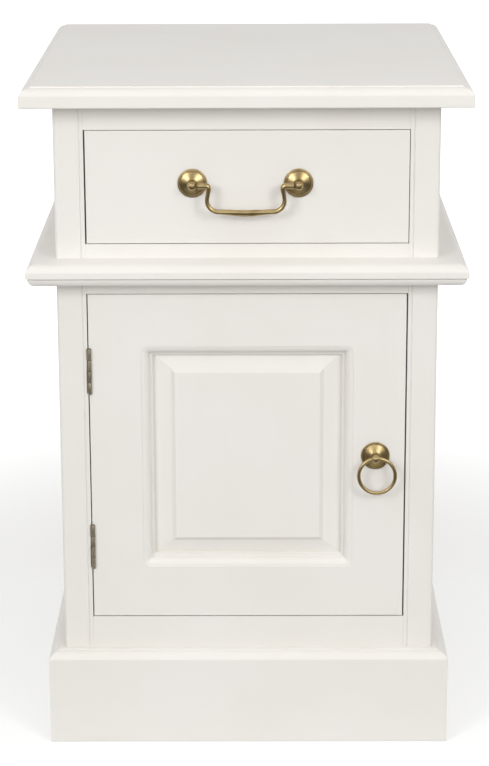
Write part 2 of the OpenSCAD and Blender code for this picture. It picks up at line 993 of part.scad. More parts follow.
module drawer_side(side) {
    color("#c8ad7f")
        difference() {
            union() {
                on_drawer_side(side)
                    block([drawer_x1 - drawer_side_t, drawer_inner_y, side_z0],
                          [drawer_x1, drawer_back_y, side_z1]);
                drawer_tails(side, 0);
            }
            drawer_sheet(over);
            drawer_back_board();
        }
}

module drawer_back() {
    color("#c8ad7f")
        drawer_back_board();
}

module drawer_bottom() {
    color("#d3bd93")
        drawer_sheet(0);
}

// ---- Handle and ring pull ----

// Section of a round plate: radius along X, height off the face along Y
module rosette_section() {
    rim_round = rosette_rim / 2;
    translate([shank_r, 0])
        square([rosette_r - rim_round - shank_r, rosette_rim]);
    translate([rosette_r - rim_round, rim_round])
        circle(rim_round);
    polygon([[shank_r, 0], [cone_r, 0], [cone_r, cone_foot], [cone_top_r, cone_h], [shank_r, cone_h]]);
}

module rosette(x, z) {
    color("#9a7f48")
        on_front(x, z)
            rotate_extrude()
                rosette_section();
}

// A post whose ball is held out by the reach, with a shank through wood of thickness t
module pull_post(reach, t) {
    translate([0, 0, reach])
        sphere(ball_r);
    translate([0, 0, cone_h])
        cylinder(h = reach - cone_h, r = neck_r);
    translate([0, 0, -t - nut_t - shank_r])
        cylinder(h = t + nut_t + shank_r + cone_h + over, r = shank_r);
}

// A handle post; its pivot hole is blind and faces the other post
module handle_post(side) {
    color("#a5894e")
        translate([-handle_shift, 0, 0])
            on_side(side)
                on_front(handle_spacing / 2, handle_z)
                    difference() {
                        pull_post(handle_reach, drawer_front_t);
                        translate([ball_r / 4, 0, handle_reach])
                            rotate([0, -90, 0])
                                cylinder(h = 2 * ball_r, r = pivot_r + pivot_play);
                    }
}

// A nut on the shank behind wood of thickness t
module pull_nut(t) {
    translate([0, 0, -t - nut_t])
        difference() {
            cylinder(h = nut_t, r = nut_r, $fn = 6);
            translate([0, 0, -over])
                cylinder(h = nut_t + 2 * over, r = shank_r);
        }
}

module handle_nuts() {
    color("#b9a566")
        for (x = handle_x)
            on_front(x, handle_z)
                pull_nut(drawer_front_t);
}

// The grip: a bar along X that swells towards its middle
module grip() {
    translate([-grip_x, 0, -bail_drop])
        rotate([0, 90, 0])
            rotate_extrude()
                intersection() {
                    square([grip_r, 2 * grip_x]);
                    translate([grip_r - grip_arc_r, grip_x])
                        circle(grip_arc_r, $fn = 1440);
                }
}

// The pivot end, arm, elbow, leg and bend on the right of the handle
module bail_end() {
    arm_x = handle_spacing / 2 - ball_r - arm_gap;
    limb_r = elbow_r - elbow_step;
    translate([leg_x, 0, 0]) {
        rotate([0, 90, 0])
            cylinder(h = arm_x - leg_x, r1 = limb_r, r2 = arm_r);
        sphere(elbow_r);
        translate([0, 0, bail_bend - bail_drop])
            cylinder(h = bail_drop - bail_bend, r1 = bend_r, r2 = limb_r);
    }
    translate([arm_x - over, 0, 0])
        rotate([0, 90, 0])
            cylinder(h = over + arm_gap + ball_r + ball_r / 5, r = pivot_r);
    translate([grip_x, 0, bail_bend - bail_drop])
        rotate([90, 0, 0])
            rotate([0, 0, -90])
                rotate_extrude(angle = 90)
                    translate([bail_bend, 0])
                        circle(bend_r);
}

module bail_handle() {
    color("#a5894e")
        translate([-handle_shift, front_y - handle_reach, handle_z]) {
            grip();
            for (side = [left, right])
                on_side(side)
                    bail_end();
        }
}

module ring_rosette() {
    rosette(ring_x, ring_z);
}

module ring_post() {
    color("#a5894e")
        on_front(ring_x, ring_z)
            difference() {
                pull_post(ring_reach, door_t);
                translate([-2 * ball_r, 0, ring_reach])
                    rotate([0, 90, 0])
                        cylinder(h = 4 * ball_r, r = ring_hole_r);
            }
}

module ring_nut() {
    color("#b9a566")
        on_front(ring_x, ring_z)
            pull_nut(door_t);
}

// The ring hangs with its wire in the middle of the hole through the ball
module pull_ring() {
    color("#a5894e")
        translate([ring_x + ring_shift, front_y - ring_reach, ring_z - ring_r + (sag_left + sag_right) / 2])
            rotate([90, 0, 0])
                rotate_extrude()
                    translate([ring_r, 0])
                        circle(wire_r);
}

// ---- Door ----

// Section of the hole inside the door frame, seen along a frame member:
// distance from the middle along X, depth behind the face along Y
module frame_hole_section(half_outer, half_inner) {
    round_x = half_outer - stick_r;
    round_y = stick_step + stick_r;
    foot_y = round_y + stick_fillet;
    for (side = [0, 1])
        mirror([side, 0])
            difference() {
                translate([0, -over])
                    square([half_outer, foot_y + over]);
                // the round of the moulding stands out from the frame into the hole
                difference() {
                    translate([round_x, stick_step])
                        square([stick_r + over, foot_y + over]);
                    difference() {
                        translate([round_x - over, stick_step - over])
                            square([stick_r + over, stick_r + over]);
                        translate([half_outer, round_y])
                            circle(stick_r);
                    }
                }
            }
    translate([-half_inner, -over])
        square([2 * half_inner, door_t + 2 * over]);
}

// The whole hole inside the door frame, with its moulded edge and rounded outer corners
module frame_hole() {
    w = 2 * outer_half[0];
    h = 2 * outer_half[1];
    intersection() {
        translate([door_mid[0], front_y, door_mid[2] - h])
            linear_extrude(2 * h)
                frame_hole_section(outer_half[0], inner_half[0]);
        translate([door_mid[0] - w, front_y, door_mid[2]])
            rotate([90, 0, 90])
                linear_extrude(2 * w)
                    rotate([0, 0, -90])
                        mirror([1, 0])
                            frame_hole_section(outer_half[1], inner_half[1]);
        translate([door_mid[0], front_y + door_t + over, door_mid[2]])
            rotate([90, 0, 0])
                linear_extrude(door_t + 2 * over)
                    rounded_plan(w, h, stick_corner);
    }
}

// A rectangle with rounded corners, in the middle of the plane
module rounded_plan(w, h, r) {
    square([w - 2 * r, h], center = true);
    square([w, h - 2 * r], center = true);
    for (x = [r - w / 2, w / 2 - r], y = [r - h / 2, h / 2 - r])
        translate([x, y])
            circle(r);
}

// The groove for the panel, all round the hole
module panel_groove() {
    half_x = inner_half[0] + groove_in;
    half_z = inner_half[1] + groove_in;
    block([door_mid[0] - half_x, front_y + groove_y, door_mid[2] - half_z],
          [door_mid[0] + half_x, front_y + groove_y + groove_t, door_mid[2] + half_z]);
}

// The tenons of a door rail between two levels, past both inner edges of the stiles
module door_tenons(z0, z1) {
    block([door_mid[0] - inner_half[0] - door_tenon, front_y + groove_y, z0],
          [door_mid[0] + inner_half[0] + door_tenon, front_y + groove_y + groove_t, z1]);
}

module lower_door_tenons() {
    door_tenons(leaf_z0 + tenon_shoulder, door_mid[2] - inner_half[1] - groove_in);
}

module upper_door_tenons() {
    door_tenons(door_mid[2] + inner_half[1] + groove_in, leaf_z1 - tenon_shoulder);
}

module stile(x0, x1) {
    difference() {
        block([x0, front_y, leaf_z0], [x1, door_back_y, leaf_z1]);
        frame_hole();
        panel_groove();
        lower_door_tenons();
        upper_door_tenons();
    }
}

module door_hinge_stile() {
    color("#edebe7")
        difference() {
            stile(leaf_x0, door_mid[0] - inner_half[0]);
            for (z = [upper_hinge_z, lower_hinge_z]) {
                door_leaf_plate(z, over);
                door_screw_holes(z);
                translate([pin_x, pin_y, z - pin_head_t - knuckle_play])
                    cylinder(h = hinge_l + 2 * (pin_head_t + knuckle_play), r = knuckle_r + knuckle_play);
            }
        }
}

module door_lock_stile() {
    color("#edebe7")
        difference() {
            stile(door_mid[0] + inner_half[0], leaf_x1);
            translate([ring_x, front_y - over, ring_z])
                rotate([-90, 0, 0])
                    cylinder(h = door_t + 2 * over, r = shank_r);
            plate_screw_places()
                screw_hole(catch_screw_l, catch_screw_r);
        }
}

module door_rail(z0, z1) {
    block([door_mid[0] - inner_half[0], front_y, z0], [door_mid[0] + inner_half[0], door_back_y, z1]);
}

module door_top_rail() {
    color("#edebe7")
        difference() {
            union() {
                difference() {
                    door_rail(door_mid[2] + inner_half[1], leaf_z1);
                    frame_hole();
                    panel_groove();
                }
                upper_door_tenons();
            }
            plate_screw_places()
                screw_hole(catch_screw_l, catch_screw_r);
        }
}

module door_bottom_rail() {
    color("#edebe7") {
        difference() {
            door_rail(leaf_z0, door_mid[2] - inner_half[1]);
            frame_hole();
            panel_groove();
        }
        lower_door_tenons();
    }
}

// Section of the raised panel: distance from the middle along X, depth behind the face along Y
module panel_section(half_hole, slope) {
    edge = half_hole + groove_in - panel_play;
    foot = half_hole - slope;
    polygon([
        [-edge, groove_y + groove_t], [-edge, groove_y], [-half_hole, groove_y],
        [-foot, groove_y - slope_rise], [field_chamfer - foot, field_y],
        [foot - field_chamfer, field_y], [foot, groove_y - slope_rise],
        [half_hole, groove_y], [edge, groove_y], [edge, groove_y + groove_t]
    ]);
}

module door_panel() {
    w = inner_half[0] + groove_in;
    h = inner_half[1] + groove_in;
    color("#eceae6")
        intersection() {
            translate([door_mid[0], front_y, door_mid[2] - h])
                linear_extrude(2 * h)
                    panel_section(inner_half[0], slope_side);
            translate([door_mid[0] - w, front_y, door_mid[2]])
                rotate([90, 0, 90])
                    linear_extrude(2 * w)
                        mirror([1, -1])
                            panel_section(inner_half[1], slope_end);
        }
}

// ---- Hinges ----

// The knuckle numbered i from the bottom of the hinge that starts at z
module knuckle(z, i, grow) {
    translate([pin_x, pin_y, z + knuckle_step * i - grow])
        cylinder(h = knuckle_l + 2 * grow, r = knuckle_r + grow);
}

// The bore through a hinge's knuckles
module knuckle_bore(z) {
    translate([pin_x, pin_y, z - over])
        cylinder(h = hinge_l + 2 * over, r = pin_r + pin_play);
}

// The flat part of the leaf on the post; its recess opens past the post's faces
module frame_leaf_plate(z, past) {
    block([-open_x - leaf_t, front_y - past, z], [past - open_x, front_y + leaf_w, z + hinge_l]);
}

// The flat part of the leaf on the door; its recess opens past the door's faces
module door_leaf_plate(z, past) {
    block([leaf_x0 - past, front_y - past, z], [leaf_x0 + leaf_t, front_y + leaf_w, z + hinge_l]);
}

// Places of the screws in a leaf, as heights
function leaf_screw_z(z) = [z + hinge_screw_end, z + hinge_l - hinge_screw_end];

module frame_screw_places(z) {
    for (level = leaf_screw_z(z))
        translate([-open_x, front_y + leaf_w / 2 + hinge_screw_r, level])
            rotate([0, -90, 0])
                children();
}

module door_screw_places(z) {
    for (level = leaf_screw_z(z))
        translate([leaf_x0, front_y + leaf_w / 2 + hinge_screw_r, level])
            rotate([0, 90, 0])
                children();
}

module frame_screw_holes(z) {
    frame_screw_places(z)
        screw_hole(hinge_screw_l, hinge_screw_r);
}

module door_screw_holes(z) {
    door_screw_places(z)
        screw_hole(hinge_screw_l, hinge_screw_r);
}

// The leaf on the post carries the even knuckles from the top
module hinge_frame_leaf(z) {
    color("#7d766a")
        difference() {
            union() {
                frame_leaf_plate(z, 0);
                for (i = [knuckle_count - 1 : -2 : 0]) {
                    knuckle(z, i, 0);
                    block([-open_x - leaf_t, pin_y, z + knuckle_step * i],
                          [pin_x, front_y, z + knuckle_step * i + knuckle_l]);
                }
            }
            knuckle_bore(z);
            frame_screw_holes(z);
        }
}

// The leaf on the door carries the others
module hinge_door_leaf(z) {
    color("#7d766a")
        difference() {
            union() {
                difference() {
                    door_leaf_plate(z, 0);
                    for (i = [knuckle_count - 1 : -2 : 0])
                        knuckle(z, i, knuckle_gap);
                }
                for (i = [knuckle_count - 2 : -2 : 0]) {
                    knuckle(z, i, 0);
                    block([leaf_x0, pin_y, z + knuckle_step * i],
                          [leaf_x0 + leaf_t, front_y + over, z + knuckle_step * i + knuckle_l]);
                }
            }
            knuckle_bore(z);
            door_screw_holes(z);
        }
}

module hinge_pins() {
    color("#5c564c")
        for (z = [upper_hinge_z, lower_hinge_z])
            translate([pin_x, pin_y, z]) {
                cylinder(h = hinge_l, r = pin_r);
                translate([0, 0, hinge_l])
                    cylinder(h = pin_head_t, r = pin_head_r);
                translate([0, 0, -pin_head_t - pin_play])
                    cylinder(h = pin_head_t, r = pin_head_r);
                translate([0, 0, -pin_head_t])
                    cylinder(h = pin_head_t, r = pin_r);
            }
}

module hinge_frame_screws() {
    color("#8d8776")
        for (z = [upper_hinge_z, lower_hinge_z])
            frame_screw_places(z)
                screw(hinge_screw_l, hinge_screw_r);
}

module hinge_door_screws() {
    color("#8d8776")
        for (z = [upper_hinge_z, lower_hinge_z])
            door_screw_places(z)
                screw(hinge_screw_l, hinge_screw_r);
}

top_board();
front_post(left);  // front_left_post
front_post(right);  // front_right_post
back_post(left);  // back_left_post
back_post(right);  // back_right_post
side_panel(left);  // left_side_panel
side_panel(right);  // right_side_panel
back_panel();
top_front_rail();
middle_front_rail();
bottom_front_rail();
top_back_rail();
bottom_back_rail();
cupboard_floor();
floor_battens();
dust_board();
drawer_runner(left);  // left_drawer_runner
drawer_runner(right);  // right_drawer_runner
drawer_kicker(left);  // left_drawer_kicker
drawer_kicker(right);  // right_drawer_kicker
drawer_stops();
waist_front();
waist_side(left);  // waist_left
waist_side(right);  // waist_right
plinth_front();
plinth_side(left);  // plinth_left
plinth_side(right);  // plinth_right
top_fixing_screws();
back_panel_pins();
magnet_catch();
catch_screws();
hinge_frame_leaf(upper_hinge_z);  // upper_hinge_frame_leaf
hinge_frame_leaf(lower_hinge_z);  // lower_hinge_frame_leaf
hinge_pins();
hinge_frame_screws();
drawer_front();
drawer_side(left);  // drawer_left_side
drawer_side(right);  // drawer_right_side
drawer_back();
drawer_bottom();
rosette(handle_x[0], handle_z);  // left_handle_rosette
rosette(handle_x[1], handle_z);  // right_handle_rosette
handle_post(left);  // left_handle_post
handle_post(right);  // right_handle_post
handle_nuts();
bail_handle();
door_hinge_stile();
door_lock_stile();
door_top_rail();
door_bottom_rail();
door_panel();
hinge_door_leaf(upper_hinge_z);  // upper_hinge_door_leaf
hinge_door_leaf(lower_hinge_z);  // lower_hinge_door_leaf
hinge_door_screws();
catch_plate();
catch_plate_screws();
ring_rosette();
ring_post();
ring_nut();
pull_ring();
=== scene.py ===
"""Looks of a painted bedside pot cupboard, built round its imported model.

Sizes are in millimetres in the model's frame: +X to the right seen from the front, +Y to the back,
+Z up, the ground at z = 0. Meshes, the studio and the scales of textures are in metres.
"""
import logging
import math
from dataclasses import dataclass
from enum import Enum
from functools import cache, partialmethod

import bmesh
import bpy
import numpy as np
from mathutils import Matrix, Vector
from numpy.typing import NDArray


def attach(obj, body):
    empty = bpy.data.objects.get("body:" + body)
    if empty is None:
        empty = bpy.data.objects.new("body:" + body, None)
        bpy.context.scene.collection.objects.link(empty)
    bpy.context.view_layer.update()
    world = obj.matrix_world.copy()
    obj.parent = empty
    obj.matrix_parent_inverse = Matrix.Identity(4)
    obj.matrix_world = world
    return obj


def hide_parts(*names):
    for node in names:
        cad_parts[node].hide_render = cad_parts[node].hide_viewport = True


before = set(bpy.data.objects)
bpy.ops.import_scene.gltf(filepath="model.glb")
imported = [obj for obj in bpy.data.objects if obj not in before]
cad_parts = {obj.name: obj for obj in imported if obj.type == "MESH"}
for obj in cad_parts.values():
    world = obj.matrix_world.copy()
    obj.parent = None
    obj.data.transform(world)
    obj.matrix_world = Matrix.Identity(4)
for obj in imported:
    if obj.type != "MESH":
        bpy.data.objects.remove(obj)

Array = NDArray[np.float64]
Quads = list[list[int]]
Piece = bpy.types.Object
Material = bpy.types.Material
Socket = bpy.types.NodeSocket
Pair = tuple[float, float]
Triple = tuple[float, float, float]

MM = 0.001
LONG = 0.004  # m: shorter edges stay crisp where a copy is eased
MERGE = 2e-6  # m: points closer than this are merged
CREASE = math.radians(40.0)  # edges with a greater angle are eased
FRONT = -173.0  # the plane of the posts' and the door's faces
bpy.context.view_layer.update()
log = logging.getLogger("cupboard")


class Body(Enum):
    """The bodies that pieces ride on."""

    CARCASS = "carcass"
    DRAWER = "drawer"
    BAIL = "bail"
    DOOR = "door"
    RING = "ring"


class Slot(Enum):
    """The record's material slots that new pieces have."""

    PAINT = "white_paint"
    BRASS = "old_brass"


class Grain(Enum):
    """The direction along which a board's grain and its brush marks run."""

    X = 0
    Y = 1
    Z = 2


# ---- Surfaces ----


def grid_quads(rows: int, cols: int, wrap: bool) -> Quads:
    """Quads between rows of points that are closed lines: two neighbours and the two after them.

    Args:
        rows: number of rows of points.
        cols: number of points in a row.
        wrap: whether the last row joins the first.

    Returns:
        Indices, four to a quad.
    """
    here = np.arange(rows * cols).reshape(rows, cols)
    side, after = np.roll(here, -1, axis=1), np.roll(here, -1, axis=0)
    quads = np.stack([here, side, np.roll(side, -1, axis=0), after], axis=-1)
    return quads[: rows if wrap else -1].reshape(-1, 4).tolist()


def ramp(count: int) -> Array:
    """As many values, evenly spaced, that rise from just over 0 to 1."""
    return np.linspace(0.0, 1.0, count + 1)[1:]


def softened(points: Array, cut: list[float]) -> Array:
    """A closed polyline with its corners rounded.

    Each corner P becomes the curve (1-t)^2 A + 2t(1-t) P + t^2 B for t from 0 to 1, where A and B
    lie at the distance cut from P along its two edges. A cut of 0 leaves the corner as it is.

    Args:
        points: the corners, one to a row.
        cut: the distance for each corner.

    Returns:
        The points of the rounded polyline.
    """
    after = np.roll(points, -1, axis=0) - points
    edge = np.linalg.norm(after, axis=1, keepdims=True)
    reach = np.minimum(np.array(cut)[:, None], 0.48 * np.minimum(edge, np.roll(edge, 1, axis=0)))
    along = after / np.maximum(edge, 1e-9)
    start, stop = points - np.roll(along, 1, axis=0) * reach, points + along * reach
    t = np.linspace(0.0, 1.0, 5)[None, :, None]
    curve = (1 - t) ** 2 * start[:, None] + 2 * t * (1 - t) * points[:, None] + t**2 * stop[:, None]
    flat = curve.reshape(-1, points.shape[1])
    apart = np.linalg.norm(np.diff(flat, axis=0), axis=1) > 1e-6
    return flat[np.append(True, apart)]


def arc(centre: Pair, radius: float, start: float, stop: float, steps: int) -> Array:
    """Points centre + radius (cos a, sin a), for a from start to stop degrees in so many steps."""
    angle = np.radians(np.linspace(start, stop, steps + 1))
    return np.stack([centre[0] + radius * np.cos(angle), centre[1] + radius * np.sin(angle)], axis=1)


def stacked(middle: Pair, line: Array, radii: Array, steps: int, wrap: bool) -> tuple[Array, Quads]:
    """Rectangles with rounded corners, one on the other.

    In the quarter with signs (sx, sy) a point at the angle a lies at
    (sx (half_x - r) + r cos a, sy (half_y - r) + r sin a) from the middle.

    Args:
        middle: the middle of every rectangle.
        line: half width, half depth and level of each.
        radii: the corner radius of each.
        steps: points less one in a corner.
        wrap: whether the last rectangle joins the first.

    Returns:
        The points and the quads.
    """
    turn = np.radians(np.linspace(0.0, 90.0, steps + 1))
    angles = np.radians([0.0, 90.0, 180.0, 270.0])[:, None] + turn
    half_x, half_y, level = line.T[:, :, None, None]
    r = np.minimum(radii[:, None, None], np.minimum(half_x, half_y))
    x = np.array([[1], [-1], [-1], [1]]) * (half_x - r) + r * np.cos(angles) + middle[0]
    y = np.array([[1], [1], [-1], [-1]]) * (half_y - r) + r * np.sin(angles) + middle[1]
    points = np.stack(np.broadcast_arrays(x, y, level), axis=-1).reshape(-1, 3)
    return points, grid_quads(len(line), 4 * (steps + 1), wrap)


def lathe(profile: Array, steps: int) -> tuple[Array, Quads]:
    """A closed profile turned round the Z axis: (r cos a, r sin a, h), for a round the circle.

    Args:
        profile: the points (r, h) of a closed line; points with r = 0 become a pole.
        steps: sections round the axis.

    Returns:
        The points and the quads.
    """
    angle = np.linspace(0.0, 2 * np.pi, steps, endpoint=False)[:, None]
    r, h = profile.T
    points = np.stack(np.broadcast_arrays(r * np.cos(angle), r * np.sin(angle), h), axis=-1)
    return points.reshape(-1, 3), grid_quads(steps, len(profile), True)


def tube(path: Array, normal: Array, sizes: Array, steps: int, closed: bool) -> tuple[Array, Quads]:
    """A tube round a path in an upright plane along X, whose section is two half ellipses joined.

    A section's point at the angle a is path + n k cos a + s w sin a, where n is the path's normal,
    s the Y direction, w the half width, and k is outer where cos a > 0 and inner elsewhere.

    Args:
        path: the middle line's points.
        normal: unit normal at each point.
        sizes: outer half thickness, inner half thickness and half width, a row for each.
        steps: points round a section.
        closed: whether the path is a ring.

    Returns:
        The points and the quads.
    """
    a = np.linspace(0.0, 2 * np.pi, steps, endpoint=False)[None, :, None]
    outer, inner, wide = sizes[:, :, None, None]
    k = np.where(np.cos(a) > 0, outer, inner)
    side = np.array([0.0, 1.0, 0.0])
    points = path[:, None] + normal[:, None] * k * np.cos(a) + side * wide * np.sin(a)
    return points.reshape(-1, 3), grid_quads(len(path), steps, closed)


def linked(name: str, data: bpy.types.ID) -> Piece:
    """A new object in the scene's collection."""
    piece = bpy.data.objects.new(name, data)
    bpy.context.scene.collection.objects.link(piece)
    return piece


def settled(name: str, mesh: bpy.types.Mesh, angle: float = 32.0, flats: bool = False) -> Piece:
    """An object for a mesh, merged, with its normals outwards.

    Args:
        name: the piece's name.
        mesh: its mesh, in metres.
        angle: edges sharper than this stay crisp, in degrees.
        flats: whether flat faces are shaded flat up to their eased edges.

    Returns:
        The new object.
    """
    work = bmesh.new()
    work.from_mesh(mesh)
    bmesh.ops.remove_doubles(work, verts=work.verts, dist=2e-7)
    bmesh.ops.dissolve_degenerate(work, edges=work.edges, dist=1e-8)
    bmesh.ops.recalc_face_normals(work, faces=work.faces)
    work.to_mesh(mesh)
    work.free()
    mesh.polygons.foreach_set("use_smooth", np.ones(len(mesh.polygons), bool))
    mesh.set_sharp_from_angle(angle=math.radians(angle))
    mesh.update()
    piece = linked(name, mesh)
    if flats:
        piece.modifiers.new("flats", "WEIGHTED_NORMAL").keep_sharp = True
    return piece


def new_piece(name: str, points: Array, faces: Quads, angle: float = 32.0, flats: bool = False) -> Piece:
    """A settled object from points in millimetres.

    Args:
        name: the piece's name.
        points: its points.
        faces: lists of their indices.
        angle: as for settled.
        flats: as for settled.

    Returns:
        The new object.
    """
    mesh = bpy.data.meshes.new(name)
    mesh.from_pydata((points * MM).tolist(), [], faces)
    return settled(name, mesh, angle, flats)


def drilled(piece: Piece, start: Triple, length: float, radius: float) -> Piece:
    """The piece with a round hole cut along X.

    Args:
        piece: what is drilled.
        start: the hole's first end.
        length: how far it runs towards +X.
        radius: its radius.

    Returns:
        The new object.
    """
    points, quads = lathe(np.array([[0, 0], [radius, 0], [radius, length], [0, length]], float), 40)
    cutter = new_piece("cutter", points[:, [2, 0, 1]] + np.array(start), quads)
    cut = piece.modifiers.new("hole", "BOOLEAN")
    cut.operation, cut.solver, cut.object = "DIFFERENCE", "EXACT", cutter
    result = bpy.data.meshes.new_from_object(
        piece.evaluated_get(bpy.context.evaluated_depsgraph_get()))
    name = piece.name
    bpy.data.objects.remove(piece)
    bpy.data.objects.remove(cutter)
    return settled(name, result)


def mitred_length(name: str, profile: Array, stations: Array, outwards: Array) -> Piece:
    """A moulding: a profile carried between the stations of a path.

    At a station with the plan point P and the outward vector D, the profile's point (out, up) lies
    at P + out D, at the height up, so a slanting D gives a mitred end.

    Args:
        name: the piece's name.
        profile: the points (out, up) of the closed section.
        stations: the plan point of each.
        outwards: the outward vector of each.

    Returns:
        The new object.
    """
    x, y = stations.T[:, :, None] + outwards.T[:, :, None] * profile[:, 0]
    points = np.stack(np.broadcast_arrays(x, y, profile[:, 1]), axis=-1)
    ends = np.arange(x.size).reshape(x.shape)[[0, -1]].tolist()
    return new_piece(name, points.reshape(-1, 3), grid_quads(*x.shape, False) + ends, flats=True)


# ---- Finishes ----


def linear(colour: Triple, by: float | Triple = 1.0) -> tuple[float, ...]:
    """The linear colour, by the sRGB curve, of a display colour from 0 to 255 times a factor."""
    c = np.array(colour) * by / 255.0
    c = np.where(c <= 0.04045, c / 12.92, ((c + 0.055) / 1.055) ** 2.4)
    return (*c.tolist(), 1.0)


class Nodes:
    """Lays the shader nodes of one material or world."""

    def __init__(self, owner: Material | bpy.types.World) -> None:
        """Starts with an empty tree."""
        owner.use_nodes = True
        self.owner = owner
        self.tree = owner.node_tree
        self.tree.nodes.clear()

    def add(self, kind: str, sockets: dict | None = None, **settings: object) -> bpy.types.Node:
        """A new node.

        Args:
            kind: the node's type without ShaderNode in front.
            sockets: for an input's name or number, a value or the output that feeds it.
            settings: the node's own properties.

        Returns:
            The node.
        """
        node = self.tree.nodes.new("ShaderNode" + kind)
        for key, value in settings.items():
            setattr(node, key, value)
        for key, value in (sockets or {}).items():
            if isinstance(value, Socket):
                self.tree.links.new(value, node.inputs[key])
            else:
                node.inputs[key].default_value = value
        return node

    def here(self) -> Socket:
        """The shaded point, in metres."""
        return self.add("TexCoord").outputs["Object"]

    def math(self, operation: str, a: object, b: object) -> Socket:
        """The output of a Math node on two values or outputs."""
        return self.add("Math", {0: a, 1: b}, operation=operation).outputs[0]

    # Sums, differences and products of values or outputs.
    plus = partialmethod(math, "ADD")
    less = partialmethod(math, "SUBTRACT")
    times = partialmethod(math, "MULTIPLY")

    def mix(self, factor: object, a: object, b: object) -> Socket:
        """The colour between a and b at this factor."""
        return self.add("Mix", {0: factor, 6: a, 7: b}, data_type="RGBA").outputs[2]

    def step(self, value: object, low: float, high: float) -> Socket:
        """0 below low, 1 above high and a smooth rise between."""
        node = self.add("MapRange", {0: value, 1: low, 2: high}, interpolation_type="SMOOTHSTEP")
        return node.outputs[0]

    def tinted(self, base: object, value: Socket, rise: Pair, share: float, tint: object) -> Socket:
        """The base colour, with a share of the tint mixed in where the value rises over a span."""
        return self.mix(self.times(self.step(value, *rise), share), base, tint)

    def noise(self, vector: object, scale: float, detail: float = 2.0, rough: float = 0.5) -> Socket:
        """The grey output of a noise texture."""
        return self.add("TexNoise", {"Vector": vector, "Scale": scale, "Detail": detail,
                                     "Roughness": rough}).outputs[0]

    def drawn_out(self, vector: object, grain: Grain, along: float, across: float,
                  move: Triple = (0.0, 0.0, 0.0)) -> Socket:
        """Coordinates scaled by one value along the grain and another across it, and moved."""
        scale = [across, across, across]
        scale[grain.value] = along
        return self.add("Mapping", {"Vector": vector, "Scale": scale, "Location": move}).outputs[0]

    def ahead(self, vector: Socket) -> Socket:
        """How far a vector reaches towards the front."""
        return self.times(self.add("SeparateXYZ", {0: vector}).outputs[1], -1.0)

    def open_sky(self, distance: float) -> Socket:
        """How much of the space within a distance of the point is open, from 0 to 1."""
        return self.add("AmbientOcclusion", {"Distance": distance}, samples=8).outputs["AO"]

    def coat(self, colour: Socket, rough: object, height: Socket, bump: Pair,
             metallic: float = 0.0) -> Material:
        """Ends the tree with a surface.

        Args:
            colour: its colour.
            rough: its roughness.
            height: its relief.
            bump: the relief's strength, and its depth in metres.
            metallic: 1 for a metal.

        Returns:
            The finished material.
        """
        relief = self.add("Bump", {"Strength": bump[0], "Distance": bump[1], "Height": height})
        shader = self.add("BsdfPrincipled", {"Base Color": colour, "Roughness": rough,
                                             "Metallic": metallic, "Normal": relief.outputs[0]})
        self.add("OutputMaterial", {"Surface": shader.outputs[0]})
        return self.owner


@dataclass(frozen=True)
class Wood:
    """Bare board: rings round an axis beside the board, drawn out along the grain, and fine pores.

    Pores and tone are noises, scaled along and across the grain. A relief, here and below, is the
    strength of the bump and its depth in metres.
    """

    name: str
    early: Triple
    late: Triple
    ring_pitch: float = 5.2
    strength: float = 0.75
    pores: Pair = (22.0, 1500.0)
    tone: Pair = (2.0, 14.0)
    roughness: float = 0.62
    relief: Pair = (0.5, 0.00012)

    def colour(self, nodes: Nodes, grain: Grain) -> tuple[Socket, Socket]:
        """The board's colour and its relief.

        Args:
            nodes: where the nodes are laid.
            grain: the direction of the grain.

        Returns:
            The colour output and the height output.
        """
        at = nodes.here()
        rings = nodes.add(
            "TexWave",
            {"Vector": nodes.drawn_out(at, grain, 0.07, 1.0, (0.031, 0.057, 0.083)),
             "Scale": 0.314 / (self.ring_pitch * MM), "Distortion": 7.0,
             "Detail": 2.0, "Detail Scale": 0.6, "Detail Roughness": 0.45},
            wave_type="RINGS", rings_direction=grain.name, wave_profile="SIN")
        pores = nodes.noise(nodes.drawn_out(at, grain, *self.pores), 1.0, 2.0, 0.6)
        tone = nodes.noise(nodes.drawn_out(at, grain, *self.tone), 1.0)
        ring = nodes.step(rings.outputs[1], 0.25, 1.0)
        board = nodes.mix(nodes.times(ring, self.strength), linear(self.early), linear(self.late))
        board = nodes.tinted(board, pores, (0.55, 0.75), 0.22, linear(self.late, 0.72))
        board = nodes.tinted(board, tone, (0.35, 0.75), 0.28, linear(self.early, 0.9))
        return board, nodes.plus(nodes.times(pores, -0.7), nodes.times(ring, 0.3))

    def material(self, grain: Grain) -> Material:
        """The board's material for a direction of the grain."""
        nodes = Nodes(bpy.data.materials.new(f"{self.name}_{grain.name.lower()}"))
        board, height = self.colour(nodes, grain)
        return nodes.coat(board, self.roughness, height, self.relief)


@dataclass(frozen=True)
class BareBox:
    """The part of painted pieces that was left bare: a box in millimetres."""

    low: Triple
    high: Triple

    def mask(self, nodes: Nodes) -> Socket:
        """1 inside the box, 0 outside, with an edge as uneven as a brush leaves.

        The depth inside is the least of half - |p - middle| over the three axes, plus some noise.

        Args:
            nodes: where the nodes are laid.

        Returns:
            The output.
        """
        at = nodes.here()
        low, high = MM * np.array([self.low, self.high])
        off = nodes.add("VectorMath", {0: at, 1: (low + high) / 2}, operation="SUBTRACT").outputs[0]
        size = nodes.add("VectorMath", {0: off}, operation="ABSOLUTE").outputs[0]
        depth = nodes.add("VectorMath", {0: (high - low) / 2, 1: size}, operation="SUBTRACT").outputs[0]
        x, y, z = nodes.add("SeparateXYZ", {0: depth}).outputs
        least = nodes.math("MINIMUM", nodes.math("MINIMUM", x, y), z)
        uneven = nodes.times(nodes.less(nodes.noise(at, 160.0, 3.0, 0.6), 0.5), 0.004)
        return nodes.step(nodes.plus(least, uneven), 0.0, 0.0004)


